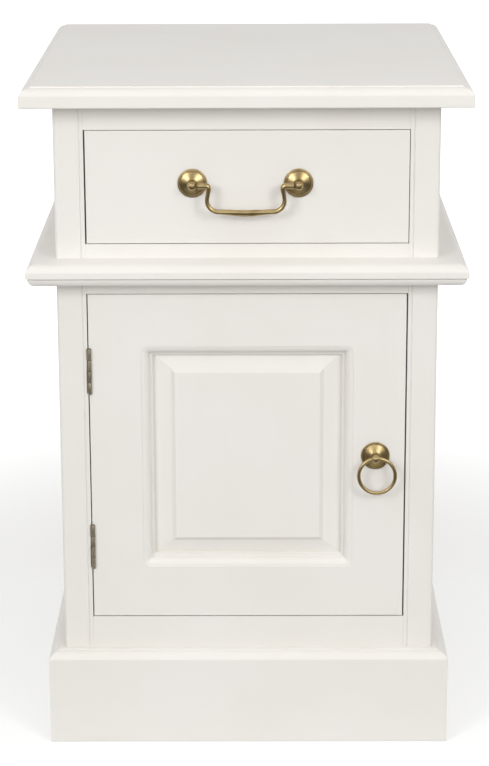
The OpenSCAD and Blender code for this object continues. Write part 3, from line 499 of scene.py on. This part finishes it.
@dataclass(frozen=True)
class Paint:
    """Warm white eggshell paint put on by brush over wood."""

    colour: Triple = (237, 234, 229)
    # colour of the painted shade in corners
    painted_shade_colour: Triple = (176, 166, 148)
    clouded: Triple = (0.99, 0.988, 0.98)
    roughness: float = 0.36
    brush: Pair = (16.0, 900.0)
    waves: Pair = (6.0, 130.0)
    film: float = 1.4
    # reach and share of the painted shade in corners
    painted_shade_reach: float = 0.005
    painted_shade_share: float = 0.12
    relief: Pair = (1.0, 0.00005)

    def material(self, grain: Grain, bare: BareBox | None = None, wood: Wood | None = None) -> Material:
        """The painted material.

        Brush marks are noise drawn out along the grain; a slower noise gives the coat's own
        unevenness; corners, where light is shut out, are darkened with a little painted shade.

        Args:
            grain: the direction of the brush.
            bare: where the wood was left bare, if anywhere.
            wood: the wood that shows there.

        Returns:
            The material.
        """
        nodes = Nodes(bpy.data.materials.new(f"paint_{grain.name.lower()}{'_edge' if bare else ''}"))
        at = nodes.here()
        streak = nodes.noise(nodes.drawn_out(at, grain, *self.brush), 1.0, 3.0, 0.62)
        wide = nodes.noise(nodes.drawn_out(at, grain, *self.waves), 1.0)
        height = nodes.plus(nodes.times(streak, 0.5), nodes.times(wide, 0.9))
        height = nodes.plus(height, nodes.times(nodes.noise(at, 420.0), 0.18))
        # painted shade: corners where the ambient occlusion finds light shut out are darkened towards a warm
        # grey
        corner = nodes.math("POWER", nodes.less(1.0, nodes.open_sky(self.painted_shade_reach)), 1.6)
        cloud = nodes.noise(at, 9.0, 3.0)
        coat = nodes.tinted(linear(self.colour), cloud, (0.35, 0.7), 1.0, linear(self.colour, self.clouded))
        coat = nodes.tinted(coat, wide, (0.5, 0.8), 0.25, linear(self.colour, 0.985))
        coat = nodes.mix(nodes.times(corner, self.painted_shade_share), coat, linear(self.painted_shade_colour))
        rough = nodes.plus(self.roughness, nodes.times(streak, 0.12))
        if bare is not None and wood is not None:
            board, relief = wood.colour(nodes, grain)
            mask = bare.mask(nodes)
            coat = nodes.mix(mask, coat, board)
            rough = nodes.plus(rough, nodes.times(mask, 0.2))
            film = nodes.times(nodes.less(1.0, mask), self.film)
            height = nodes.plus(nodes.plus(height, film), nodes.times(relief, mask))
        return nodes.coat(coat, rough, height, self.relief)


@dataclass(frozen=True)
class Metal:
    """A metal with a patchy dull skin, darker where light is shut out: partly tarnish in its hollows, partly
    painted shade.
    """

    name: str
    bright: Triple
    dull: Triple
    deep: Triple
    roughness: float
    skin: float
    # reach of the darkening where light is shut out: tarnish in hollows and painted shade
    tarnish_and_shade_reach: float = 0.006
    relief: Pair = (0.35, 0.00004)

    def material(self) -> Material:
        """The metal's material: dull skin by two noises, deep colour where light is shut out, partly as
        tarnish and partly as painted shade.

        Returns:
            The material.
        """
        nodes = Nodes(bpy.data.materials.new(self.name))
        at = nodes.here()
        patch = nodes.noise(at, 95.0, 4.0, 0.6)
        fine = nodes.noise(at, 600.0, 3.0, 0.6)
        # darker where light is shut out: partly tarnish in the hollows, partly painted shade, as under the
        # bail's arm
        tarnish_and_shade = nodes.less(1.0, nodes.step(nodes.open_sky(self.tarnish_and_shade_reach), 0.2, 0.8))
        deep = linear(self.deep)
        body = nodes.tinted(linear(self.bright), patch, (0.35, 0.7), self.skin, linear(self.dull))
        body = nodes.tinted(body, fine, (0.6, 0.8), 0.3 * self.skin, deep)
        body = nodes.mix(nodes.times(tarnish_and_shade, 0.85), body, deep)
        rough = nodes.plus(self.roughness, nodes.times(patch, 0.16))
        rough = nodes.plus(rough, nodes.times(tarnish_and_shade, 0.15))
        return nodes.coat(body, rough, nodes.plus(fine, patch), self.relief, 1.0)


@dataclass(frozen=True)
class Plastic:
    """Moulded plastic with a fine matt grain."""

    name: str
    colour: Triple
    roughness: float = 0.4
    relief: Pair = (0.4, 0.00003)

    def material(self) -> Material:
        """The plastic's material: even colour, fine bump and slight gloss changes.

        Returns:
            The material.
        """
        nodes = Nodes(bpy.data.materials.new(self.name))
        at = nodes.here()
        slow = nodes.noise(at, 60.0)
        body = nodes.tinted(linear(self.colour), slow, (0.3, 0.7), 1.0, linear(self.colour, 0.94))
        rough = nodes.plus(self.roughness, nodes.times(slow, 0.12))
        return nodes.coat(body, rough, nodes.noise(at, 1800.0), self.relief)


class Finishes:
    """Every material of the cupboard, made once each."""

    def __init__(self) -> None:
        """Makes the finishes that need no grain."""
        self.pine = Wood("pine", (219, 187, 142), (188, 141, 92))
        self.ply = Wood("ply", (224, 200, 162), (204, 170, 126), 21.0, 0.5)
        self.paint = Paint()
        self.inside = BareBox((-171.5, -153.5, -10.0), (171.5, 260.0, 618.0))
        self.behind_front = BareBox((-300.0, -159.0, 0.0), (300.0, 0.0, 700.0))
        self.brass = Metal("brass", (195, 173, 127), (154, 132, 91), (56, 44, 27), 0.28, 0.7).material()
        self.hinge = Metal("hinge", (184, 174, 156), (146, 137, 121), (66, 59, 50), 0.45, 0.9).material()
        self.steel = Metal("steel", (198, 198, 196), (160, 160, 158), (90, 88, 84), 0.3, 0.6).material()
        self.plastic = Plastic("plastic", (203, 196, 180)).material()

    @cache
    def painted(self, grain: Grain) -> Material:
        """Paint all over."""
        return self.paint.material(grain)

    @cache
    def painted_case(self, grain: Grain) -> Material:
        """Paint outside, bare pine inside the cupboard."""
        return self.paint.material(grain, self.inside, self.pine)

    @cache
    def painted_front(self, grain: Grain) -> Material:
        """Paint on the front of the drawer, bare pine behind it."""
        return self.paint.material(grain, self.behind_front, self.pine)

    @cache
    def bare(self, grain: Grain) -> Material:
        """Bare pine."""
        return self.pine.material(grain)

    @cache
    def sheet(self, grain: Grain) -> Material:
        """Thin plywood."""
        return self.ply.material(grain)


# ---- Dressing ----


def dress(piece: Piece, *materials: Material) -> None:
    """Gives a piece these materials in place of its own."""
    piece.data.materials.clear()
    for material in materials:
        piece.data.materials.append(material)


def keep_nodes(names: str, material: Material, width: float) -> None:
    """Dresses nodes that keep their own shape and rounds their edges a little.

    Args:
        names: the nodes' names with spaces between.
        material: their finish.
        width: the width of the rounding, or 0 for none.
    """
    for name in names.split():
        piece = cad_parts[name]
        for i in range(len(piece.data.materials)):
            piece.data.materials[i] = material
        if width > 0:
            piece.modifiers.new("merge", "WELD").merge_threshold = MERGE
            bevel = piece.modifiers.new("edges", "BEVEL")
            bevel.width, bevel.segments = width * MM, 2
            bevel.limit_method, bevel.angle_limit = "ANGLE", CREASE
            bevel.use_clamp_overlap, bevel.harden_normals = False, True
        log.info("kept %s", name)


def eased_copy(node: str, width: float) -> Piece:
    """A merged copy of a model node with its long edges rounded and its small holes left crisp.

    Args:
        node: the node.
        width: the width of the rounding.

    Returns:
        The new object.
    """
    work = bmesh.new()
    work.from_mesh(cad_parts[node].data)
    bmesh.ops.remove_doubles(work, verts=work.verts, dist=MERGE)
    bmesh.ops.dissolve_limit(work, angle_limit=math.radians(0.5), verts=work.verts, edges=work.edges)
    sharp = [edge for edge in work.edges
             if edge.calc_length() > LONG and edge.calc_face_angle(0.0) > CREASE]
    bmesh.ops.bevel(work, geom=sharp, offset=width * MM, segments=3, profile=0.5, affect="EDGES",
                    clamp_overlap=False)
    points = np.array([vert.co[:] for vert in work.verts])
    faces = [[vert.index for vert in face.verts] for face in work.faces]
    work.free()
    return new_piece(node + "_eased", points / MM, faces, flats=True)


def place(piece: Piece, body: Body, slot: Slot, nodes: str, *materials: Material) -> None:
    """Puts a new piece on its body in place of nodes of the model.

    Args:
        piece: the piece.
        body: what it rides on.
        slot: the record's slot of its finish; not used.
        nodes: the nodes that it stands for, with spaces between.
        materials: its finish; none where it is dressed already.
    """
    if materials:
        dress(piece, *materials)
    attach(piece, body.value)
    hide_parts(*nodes.split())
    log.info("built %s: %d faces, for %s", piece.name, len(piece.data.polygons), nodes)


@dataclass(frozen=True)
class Thumb:
    """The thumb moulding of the top, the waist and the plinth."""

    wide: float = 9.2
    drop: float = 7.6
    step: float = 1.2

    def edge(self, out: float, up: float) -> Array:
        """Its line on an edge whose square corner is at (out, up), from the inside outwards.

        A step down, then an arc that starts level and ends on the outer face: its radius r meets
        wide^2 + (fall - r)^2 = r^2, where fall is the drop less the step.

        Args:
            out: how far the outer face stands out.
            up: the height of the top.

        Returns:
            The points (out, up): the foot of the step first.
        """
        fall = self.drop - self.step
        r = (self.wide**2 + fall**2) / (2 * fall)
        last = math.degrees(math.asin(self.wide / r))
        return arc((out - self.wide, up - self.step - r), r, 90.0, 90.0 - last, 12)


@dataclass
class Carcass:
    """The fixed case: posts, rails, boards, the top and the mouldings."""

    finishes: Finishes
    half_w: float = 173.0
    back_y: float = 187.0
    top_half: float = 200.0
    top_z: Pair = (611.5, 630.0)
    waist_z: Pair = (448.5, 470.0)
    waist_out: float = 25.5
    bead: float = 7.7
    bead_set: float = 1.8
    groove: Pair = (1.3, 0.9)
    plinth_h: float = 91.0
    plinth_out: float = 14.5
    thumb: Thumb = Thumb()

    def board_section(self, out: float, levels: Pair, under: float) -> Array:
        """The section of a board with the thumb moulding along its upper edge.

        Args:
            out: how far it reaches outwards.
            levels: the heights of its underside and its top.
            under: the cut that rounds its lower edge.

        Returns:
            The points (out, up), from the inside of the top round to the inside of the underside.
        """
        low, high = levels
        edge = self.thumb.edge(out, high)
        line = np.concatenate([[[0.0, high], [out - self.thumb.wide, high]], edge, [[out, low], [0.0, low]]])
        return softened(line, [0.0, 0.35, 0.3] + [0.0] * (len(edge) - 2) + [0.8, under, 0.0])

    def waist_section(self) -> Array:
        """The waist moulding's section: a top that falls gently to a rounded edge, a bead below.

        The top reaches the arc of the edge without a step. A fine groove, so deep and so tall,
        parts edge and bead; the bead starts level with the foot of the groove.

        Returns:
            The points (out, up).
        """
        low, high = self.waist_z
        out, r = self.waist_out, self.bead
        deep, tall = self.groove
        middle = out - self.bead_set - r
        inside = middle + r - deep
        edge = self.thumb.edge(out, high)
        first = math.degrees(math.asin(tall / 2 / r))
        bead = arc((middle, low + r), r, -90.0, -first, 12)[::-1]
        line = np.concatenate([[[0.0, high]], edge,
                               [[out, low + r + tall / 2], [inside, low + r + tall / 2],
                                [inside, low + r - tall / 2]], bead, [[0.0, low]]])
        return softened(line, [0.0, 1.5] + [0.0] * (len(edge) - 2) + [0.7, 0.4, 0.0, 0.0, 0.3]
                        + [0.0] * len(bead))

    def top(self) -> Piece:
        """The top board: rectangles stacked from the middle of its top to that of its underside.

        Returns:
            The new object.
        """
        line = self.board_section(self.top_half, self.top_z, 1.5)
        slab = stacked((0.0, 0.0), line[:, [0, 0, 1]], np.full(len(line), 0.7), 4, False)
        return new_piece("top_board_moulded", *slab, flats=True)

    def mouldings(self, kind: str, section: Array) -> None:
        """Builds and places the front, left and right lengths of one moulding.

        Args:
            kind: the first part of the nodes' names.
            section: the section, outwards and up.
        """
        w, back = self.half_w, self.back_y
        for side, stations, outwards, grain in (
                ("front", [[-w, FRONT], [w, FRONT]], [[-1, -1], [1, -1]], Grain.X),
                ("left", [[-w, FRONT], [-w, back]], [[-1, -1], [-1, 0]], Grain.Y),
                ("right", [[w, FRONT], [w, back]], [[1, -1], [1, 0]], Grain.Y)):
            piece = mitred_length(f"{kind}_{side}_moulded", section, np.array(stations), np.array(outwards))
            place(piece, Body.CARCASS, Slot.PAINT, f"{kind}_{side}", self.finishes.painted(grain))

    def build(self) -> None:
        """Builds the moulded pieces and dresses the rest."""
        case, bare, sheet = self.finishes.painted_case, self.finishes.bare, self.finishes.sheet
        place(self.top(), Body.CARCASS, Slot.PAINT, "top_board", case(Grain.X))
        self.mouldings("waist", self.waist_section())
        self.mouldings("plinth", self.board_section(self.plinth_out, (0.0, self.plinth_h), 0.5))
        for name, grain in (("front_left_post", Grain.Z), ("front_right_post", Grain.Z),
                            ("middle_front_rail", Grain.X)):
            place(eased_copy(name, 0.25), Body.CARCASS, Slot.PAINT, name, case(grain))
        keep_nodes("back_left_post back_right_post left_side_panel right_side_panel", case(Grain.Z), 0.5)
        keep_nodes("top_front_rail bottom_front_rail", case(Grain.X), 0.3)
        keep_nodes("top_back_rail bottom_back_rail cupboard_floor floor_battens drawer_stops",
                   bare(Grain.X), 0.5)
        keep_nodes("left_drawer_runner right_drawer_runner left_drawer_kicker right_drawer_kicker",
                   bare(Grain.Y), 0.5)
        keep_nodes("back_panel", sheet(Grain.Z), 0.0)
        keep_nodes("dust_board", sheet(Grain.X), 0.3)


@dataclass
class Drawer:
    """The drawer box and its front."""

    finishes: Finishes

    def build(self) -> None:
        """Dresses the drawer's boards and the nuts inside it."""
        place(eased_copy("drawer_front", 0.5), Body.DRAWER, Slot.PAINT, "drawer_front",
              self.finishes.painted_front(Grain.X))
        keep_nodes("drawer_left_side drawer_right_side", self.finishes.bare(Grain.Y), 0.3)
        keep_nodes("drawer_back", self.finishes.bare(Grain.X), 0.4)
        keep_nodes("drawer_bottom", self.finishes.sheet(Grain.X), 0.2)
        keep_nodes("handle_nuts", self.finishes.brass, 0.2)


@dataclass
class Door:
    """The framed door with its raised and fielded panel."""

    finishes: Finishes
    middle: Pair = (-0.15, 279.1)
    half: Pair = (144.9, 156.8)
    thick: float = 21.0
    hole_outer: Pair = (97.15, 107.3)
    hole_inner: Pair = (87.15, 97.3)
    step: float = 0.8
    round_r: float = 7.0
    foot: float = 8.8
    corner: float = 7.0
    raised: Pair = (66.75, 80.7)
    field_depth: float = 5.7
    chamfer: float = 3.4
    groove_depth: float = 13.0
    tongue: float = 5.2
    panel_back: float = 18.0

    def _stacked(self, name: str, line: Array, radii: Array, wrap: bool) -> Piece:
        """Rectangles stacked behind the door's face: half width, half height and depth of each."""
        points, quads = stacked(self.middle, line, radii, 6, wrap)
        return new_piece(name, points[:, [0, 2, 1]] + (0.0, FRONT, 0.0), quads, flats=True)

    def frame(self) -> Piece:
        """Stiles and rails under one coat: a section carried round the hole, closed on itself.

        Returns:
            The new object, dressed.
        """
        hx, hz = self.half
        ox, oz = self.hole_outer
        ix, iz = self.hole_inner
        bend = arc((0.0, self.step + self.round_r), self.round_r, -90.0, 0.0, 10)
        moulded = np.stack([ox - bend[:, 0], oz - bend[:, 0], bend[:, 1]], axis=1)
        line = np.concatenate([
            [[hx, hz, self.thick], [hx, hz, 0.0], [ox, oz, 0.0]],
            moulded,
            [[ox - self.round_r, oz - self.round_r, self.foot], [ix, iz, self.foot], [ix, iz, self.thick]],
        ])
        line = softened(line, [0.7, 0.8, 0.3, 0.25] + [0.0] * (len(moulded) - 1) + [0.4, 0.4, 0.7])
        radii = np.where(line[:, 0] > ox + 0.5, 0.8, np.clip(self.corner - (ox - line[:, 0]), 0.6, None))
        piece = self._stacked("door_frame", line, radii, True)
        dress(piece, self.finishes.painted(Grain.Z), self.finishes.painted(Grain.X))
        centres = np.zeros(len(piece.data.polygons) * 3)
        piece.data.polygons.foreach_get("center", centres)
        on_rail = np.abs(centres[::3] / MM - self.middle[0]) < ix
        piece.data.polygons.foreach_set("material_index", on_rail.astype(np.int32))
        return piece

    def panel(self) -> Piece:
        """The panel: a raised flat field, a chamfer, a slope and the tongue round it.

        Returns:
            The new object.
        """
        fx, fz = self.raised
        ix, iz = self.hole_inner
        line = np.array([
            [0.0, 0.0, self.field_depth], [fx, fz, self.field_depth],
            [fx + self.chamfer, fz + self.chamfer, self.field_depth + self.chamfer],
            [ix, iz, self.groove_depth], [ix + self.tongue, iz + self.tongue, self.groove_depth],
            [ix + self.tongue, iz + self.tongue, self.panel_back], [0.0, 0.0, self.panel_back]])
        line = softened(line, [0.0, 0.9, 0.9, 0.0, 0.2, 0.3, 0.0])
        return self._stacked("door_panel_fielded", line, np.full(len(line), 0.5), False)

    def build(self) -> None:
        """Builds the door's frame and its panel."""
        place(self.frame(), Body.DOOR, Slot.PAINT,
              "door_hinge_stile door_lock_stile door_top_rail door_bottom_rail")
        place(self.panel(), Body.DOOR, Slot.PAINT, "door_panel", self.finishes.painted(Grain.Z))


@dataclass
class Pulls:
    """The drawer's swinging handle and the door's ring pull, in old brass."""

    finishes: Finishes
    drawer_wood: float = 18.0
    door_wood: float = 21.0
    plate_r: float = 13.2
    rim: float = 1.2
    bead: Pair = (11.2, 0.42)
    cone_r: Pair = (10.3, 4.0)
    cone_h: Pair = (1.7, 4.7)
    shank_r: float = 2.0
    neck_r: float = 3.3
    ball_r: float = 4.2
    ball_arc: Pair = (-52.0, 58.0)
    nut_t: float = 3.2
    handle_x: float = 47.625
    handle_middle: float = -1.3
    handle_z: float = 539.1
    handle_reach: float = 12.0
    pivot_hole_r: float = 1.65
    leg_x: float = 34.3
    end_play: float = 0.3
    pivot_end: float = 48.46
    collar_gap: float = 0.4
    arm_neck: float = 40.5
    lean: Pair = (-0.8, 0.4)
    grip_z: float = 514.9
    elbow: float = 3.0
    bend: float = 10.5
    ring_at: Pair = (117.7, 281.3)
    ring_reach: float = 10.0
    ring_shift: float = 1.3
    ring_lift: float = 0.383
    ring_r: float = 16.8
    wire_r: float = 1.7
    ring_hole_r: float = 2.45

    def _turned(self, name: str, line: Array, at: Pair, steps: int) -> Piece:
        """A line (r, h) turned round the axis at (x, z), with h the height above the face."""
        points, quads = lathe(line, steps)
        return new_piece(name, points[:, [0, 2, 1]] * (1, -1, 1) + (at[0], FRONT, at[1]), quads, 38.0)

    def plate(self, name: str, at: Pair) -> Piece:
        """A round plate: a rolled rim, a fine bead and a cone that rises in a hollow curve.

        The cone's line is r = foot - (foot - top) t, h = foot height + rise t^1.1, for t from 0 to 1.

        Args:
            name: the piece's name.
            at: its middle, (x, z).

        Returns:
            The new object.
        """
        half = self.rim / 2
        rim = arc((self.plate_r - half, half), half, -90.0, 90.0, 8)
        t = np.linspace(0.0, 1.0, 15)
        (foot_r, top_r), (foot, top) = self.cone_r, self.cone_h
        cone = np.stack([foot_r - (foot_r - top_r) * t, foot - 0.25 + (top - foot + 0.05) * t**1.1], axis=1)
        bead = arc((self.bead[0], self.rim), self.bead[1], 180.0, 0.0, 8)[::-1]
        collar = arc((top_r - 0.25, top), 0.5, 0.0, 150.0, 8)
        line = np.concatenate([[[self.shank_r, 0.0]], rim, bead, cone[:-1], collar, [[self.shank_r, top]]])
        return self._turned(name, line, at, 96)

    def post(self, name: str, at: Pair, reach: float, wood: float) -> Piece:
        """A turned post: a shank through the wood, a waisted neck and a ball with a flattened end.

        Args:
            name: the piece's name.
            at: its axis, (x, z).
            reach: the height of the ball's middle above the face.
            wood: the thickness of the wood behind it.

        Returns:
            The new object.
        """
        back, r, foot = wood + self.nut_t + self.shank_r, self.shank_r, self.cone_h[1]
        ball = arc((0.0, reach), self.ball_r, *self.ball_arc, 16)
        end = ramp(6)
        end = np.stack([ball[-1, 0] * (1 - end), ball[-1, 1] + 0.3 * (1 - (1 - end) ** 2)], axis=1)
        neck_z = np.linspace(foot, ball[0, 1], 6)
        neck_r = self.neck_r + 0.35 * (2 * np.linspace(0.0, 1.0, 6) - 1) ** 2 - 0.2
        neck_r[-1] = ball[0, 0]
        line = np.concatenate([
            [[0.0, -back], [r - 0.3, -back], [r, -back + 0.3], [r, foot]],
            np.stack([neck_r, neck_z], axis=1), ball[1:], end])
        return self._turned(name, line, at, 64)

    def bail(self) -> Piece:
        """The swinging handle: arm, elbow, leg, bend and half the grip, then the same mirrored.

        The leg leans outwards on its way down, by (3 - 2 t) t^2 of its lean, for t from 0 to 1.

        The path lies in the upright plane through the pivots, its normal up on the arm and the
        grip and towards the middle on the legs. The elbow's outer half thickness grows by sin^2 of
        twice the turn, so that the elbow comes to a blunt corner.

        Returns:
            The new object.
        """
        top, grip, bend, elbow = self.handle_z, self.grip_z, self.bend, self.elbow
        start = self.handle_x - self.ball_r - self.collar_gap
        high, low = self.leg_x + np.array(self.lean)
        arm_x = np.array([self.pivot_end] * 2 + [start, start, start - 0.25, self.arm_neck, high + elbow])
        turned, along, bent, held = ramp(12), ramp(10), ramp(18), ramp(21)
        grip_x = np.linspace(low - bend, 0.0, 22)[1:]
        half = np.concatenate([
            np.stack([arm_x, np.full(7, top)], axis=1),
            arc((high + elbow, top - elbow), elbow, 90.0, 180.0, 12)[1:],
            np.stack([high + (low - high) * (3 - 2 * along) * along * along,
                      top - elbow + (grip + bend - top + elbow) * along], axis=1),
            arc((low - bend, grip + bend), bend, 0.0, -90.0, 18)[1:],
            np.stack([grip_x, np.full(21, grip)], axis=1)])
        normal = np.concatenate([
            np.tile([0.0, 1.0], (7, 1)), arc((0, 0), 1, 90.0, 180.0, 12)[1:],
            np.tile([-1.0, 0.0], (10, 1)), arc((0, 0), 1, 180.0, 90.0, 18)[1:], np.tile([0.0, 1.0], (21, 1))])
        left, arm = 1 - along, [0.0, 1.6, 1.6, 2.9, 3.2, 3.1]
        swell = np.sin(0.5 * np.pi * held) ** 1.5
        outer = [[*arm, 2.8], 2.8 - 0.1 * turned + 0.3 * np.sin(np.pi * turned) ** 2,
                 2.0 + 0.7 * left**1.5, 2.0 + 0.8 * bent, 2.8 - 0.7 * swell]
        inner = [[*arm, 2.75], 2.75 - 0.85 * turned,
                 1.75 + 0.15 * left**2, 1.75 + 0.05 * bent, 1.8 + 2.0 * swell]
        wide = [[*arm, 2.95], 2.95 - 0.3 * turned,
                2.0 + 0.65 * left**1.5, np.full(18, 2.0), 2.0 + swell]
        sizes = np.stack([np.concatenate(size) for size in (outer, inner, wide)])
        mirror = np.array([-1.0, 1.0])
        plan = np.concatenate([half, (half * mirror)[-2::-1]])
        normal = np.concatenate([normal, (normal * mirror)[-2::-1]])
        sizes = np.concatenate([sizes, sizes[:, -2::-1]], axis=1)
        at = (self.handle_middle + self.end_play, FRONT - self.handle_reach, 0.0)
        path, normals = np.insert(plan, 1, 0.0, axis=1) + at, np.insert(normal, 1, 0.0, axis=1)
        return new_piece("bail", *tube(path, normals, sizes, 36, False), 45.0)

    def ring(self) -> Piece:
        """The ring: a round wire carried round a circle that hangs in the post's hole.

        Returns:
            The new object.
        """
        x, z = self.ring_at
        middle = (x + self.ring_shift, FRONT - self.ring_reach, z + self.ring_lift - self.ring_r)
        out = np.insert(arc((0.0, 0.0), 1.0, 0.0, 360.0, 96)[:-1], 1, 0.0, axis=1)
        sizes = np.full((3, 96), self.wire_r)
        return new_piece("ring", *tube(middle + self.ring_r * out, out, sizes, 28, True), 60.0)

    def build(self) -> None:
        """Builds the handle and the ring pull."""
        brass = self.finishes.brass
        reach = 2 * self.ball_r
        for side, sign in (("left", -1), ("right", 1)):
            x, z = self.handle_middle + sign * self.handle_x, self.handle_z
            place(self.plate(f"{side}_handle_plate", (x, z)), Body.DRAWER, Slot.BRASS,
                  f"{side}_handle_rosette", brass)
            post = self.post(f"{side}_handle_pillar", (x, z), self.handle_reach, self.drawer_wood)
            first = x + self.ball_r / 4 - reach if sign > 0 else x - self.ball_r / 4
            post = drilled(post, (first, FRONT - self.handle_reach, z), reach, self.pivot_hole_r)
            place(post, Body.DRAWER, Slot.BRASS, f"{side}_handle_post", brass)
        place(self.bail(), Body.BAIL, Slot.BRASS, "bail_handle", brass)
        x, z = self.ring_at
        place(self.plate("ring_plate", self.ring_at), Body.DOOR, Slot.BRASS, "ring_rosette", brass)
        post = self.post("ring_pillar", self.ring_at, self.ring_reach, self.door_wood)
        post = drilled(post, (x - 8.0, FRONT - self.ring_reach, z), 16.0, self.ring_hole_r)
        place(post, Body.DOOR, Slot.BRASS, "ring_post", brass)
        place(self.ring(), Body.RING, Slot.BRASS, "pull_ring", brass)
        keep_nodes("ring_nut", brass, 0.2)


@dataclass
class Ironmongery:
    """Hinges, screws, pins and the catch."""

    finishes: Finishes

    def build(self) -> None:
        """Dresses the small metal pieces and the catch."""
        hinge, steel = self.finishes.hinge, self.finishes.steel
        keep_nodes("upper_hinge_frame_leaf lower_hinge_frame_leaf upper_hinge_door_leaf "
                   "lower_hinge_door_leaf hinge_pins", hinge, 0.12)
        keep_nodes("hinge_frame_screws hinge_door_screws", hinge, 0.0)
        keep_nodes("top_fixing_screws back_panel_pins catch_screws catch_plate_screws", steel, 0.0)
        keep_nodes("catch_plate", steel, 0.15)
        keep_nodes("magnet_catch", self.finishes.plastic, 0.3)


# ---- Studio ----


@dataclass(frozen=True)
class Lamp:
    """A square soft lamp: where it stands, its side in metres and its power in watts."""

    name: str
    at: Triple
    size: float
    power: float


@dataclass
class Studio:
    """Floor, light and camera.

    A fade is the stretch to the front, or from the middle, over which a change comes in.
    """

    focal: float = 101.39
    camera_at: Triple = (0.0080, -2.0585, 0.9539)
    pitch: float = 0.247616
    yaw: float = 0.005484
    roll: float = -0.003580
    shift_y: float = -0.1736
    sky: float = 0.526
    floor_half: float = 6.0
    floor_drop: float = 0.0004
    floor_grey: float = 0.64
    front_fade: Pair = (0.3, 0.9)
    front_loss: float = 0.3
    mirror_fade: Pair = (0.14, 0.36)
    mirror_loss: float = 0.34
    lift_fade: Pair = (0.35, 1.3)
    foot_lift: float = 0.44
    room_loss: float = 0.25
    room_mirror_loss: float = 0.2
    lamps: tuple[Lamp, ...] = (
        Lamp("left", (-1.3, -1.9, 1.4), 0.9, 17.7), Lamp("right", (1.3, -1.9, 1.48), 0.9, 18.3),
        Lamp("above", (0.0, -0.9, 2.5), 1.4, 5.3), Lamp("low_front", (0.0, -2.6, 0.8), 1.4, 7.8))
    lit: Triple = (0.0, 0.0, 0.5)

    def seen(self, nodes: Nodes, in_front: Socket) -> Socket:
        """How far the white shows: to the camera all of it, to mirrors what is behind.

        Args:
            nodes: where the nodes are laid.
            in_front: 1 in front of the cupboard, 0 behind.

        Returns:
            The output.
        """
        path = nodes.add("LightPath").outputs
        mirrored = nodes.math("MAXIMUM", path["Is Glossy Ray"], path["Is Transmission Ray"])
        return nodes.math("MAXIMUM", nodes.times(mirrored, nodes.less(1.0, in_front)), path["Is Camera Ray"])

    def floor(self) -> None:
        """A white floor that keeps the cupboard's shadow and is lifted to white where it is clear.

        It is greyer towards the room in front, and greyer still where metal mirrors that part.
        """
        far, low = self.floor_half, -self.floor_drop
        points = np.array([[-far, -far, low], [far, -far, low], [far, far, low], [-far, far, low]])
        piece = new_piece("floor", points / MM, [[0, 1, 2, 3]])
        nodes = Nodes(bpy.data.materials.new("floor_white"))
        at = nodes.here()
        ahead = nodes.ahead(at)
        in_mirror = nodes.step(ahead, *self.mirror_fade)
        mirrored = nodes.times(nodes.add("LightPath").outputs["Is Glossy Ray"], in_mirror)
        loss = nodes.times(nodes.step(ahead, *self.front_fade), self.front_loss)
        grey = nodes.less(nodes.less(self.floor_grey, loss), nodes.times(mirrored, self.mirror_loss))
        matt = nodes.add("BsdfDiffuse", {"Color": grey})
        away = nodes.add("VectorMath", {0: at}, operation="LENGTH").outputs["Value"]
        clear = nodes.times(nodes.step(away, *self.lift_fade), 1.0 - self.foot_lift)
        lifted = nodes.times(self.seen(nodes, in_mirror), nodes.plus(self.foot_lift, clear))
        lift = nodes.add("Emission", {"Strength": lifted})
        both = nodes.add("AddShader", {0: matt.outputs[0], 1: lift.outputs[0]})
        nodes.add("OutputMaterial", {"Surface": both.outputs[0]})
        dress(piece, nodes.owner)

    def world(self) -> None:
        """Soft light from all round, less from the room in front; white where it is seen directly."""
        bpy.context.scene.world = bpy.data.worlds.new("studio")
        nodes = Nodes(bpy.context.scene.world)
        ahead = nodes.ahead(nodes.add("TexCoord").outputs["Generated"])
        mirrored = nodes.add("LightPath").outputs["Is Glossy Ray"]
        loss = nodes.plus(self.room_loss, nodes.times(mirrored, self.room_mirror_loss))
        soft = nodes.times(nodes.less(1.0, nodes.times(nodes.step(ahead, 0.0, 0.8), loss)), self.sky)
        strength = nodes.math("MAXIMUM", soft, self.seen(nodes, nodes.step(ahead, -0.2, 0.2)))
        white = nodes.add("Background", {"Color": (1.0, 1.0, 1.0, 1.0), "Strength": strength})
        nodes.add("OutputWorld", {"Surface": white.outputs[0]})

    def light(self, lamp: Lamp) -> None:
        """Puts up a lamp, turned to the point that all of them light.

        Args:
            lamp: the lamp.
        """
        data = bpy.data.lights.new(lamp.name, "AREA")
        data.shape, data.size, data.energy = "SQUARE", lamp.size, lamp.power
        piece = linked(lamp.name, data)
        piece.location = lamp.at
        back = Vector(lamp.at) - Vector(self.lit)
        piece.rotation_euler = back.to_track_quat("Z", "Y").to_euler()

    def camera(self) -> None:
        """The photograph's view: turned by yaw, pitched down, rolled a little and shifted."""
        data = bpy.data.cameras.new("view")
        data.lens, data.shift_y = self.focal, self.shift_y
        piece = linked("view", data)
        piece.matrix_world = (Matrix.Translation(self.camera_at) @ Matrix.Rotation(self.yaw, 4, "Z")
                              @ Matrix.Rotation(math.pi / 2 - self.pitch, 4, "X")
                              @ Matrix.Rotation(self.roll, 4, "Z"))
        bpy.context.scene.camera = piece

    def build(self) -> None:
        """Sets up the whole studio."""
        self.floor()
        self.world()
        for lamp in self.lamps:
            self.light(lamp)
        self.camera()
        bpy.context.scene.view_settings.view_transform = "Standard"
        log.info("studio ready")


def main() -> None:
    """Builds the cupboard in order, then the studio."""
    logging.basicConfig(level=logging.INFO, format="%(name)s: %(message)s")
    finishes = Finishes()
    for part in (Carcass(finishes), Drawer(finishes), Door(finishes), Pulls(finishes),
                 Ironmongery(finishes), Studio()):
        part.build()


if __name__ == "__main__":
    main()
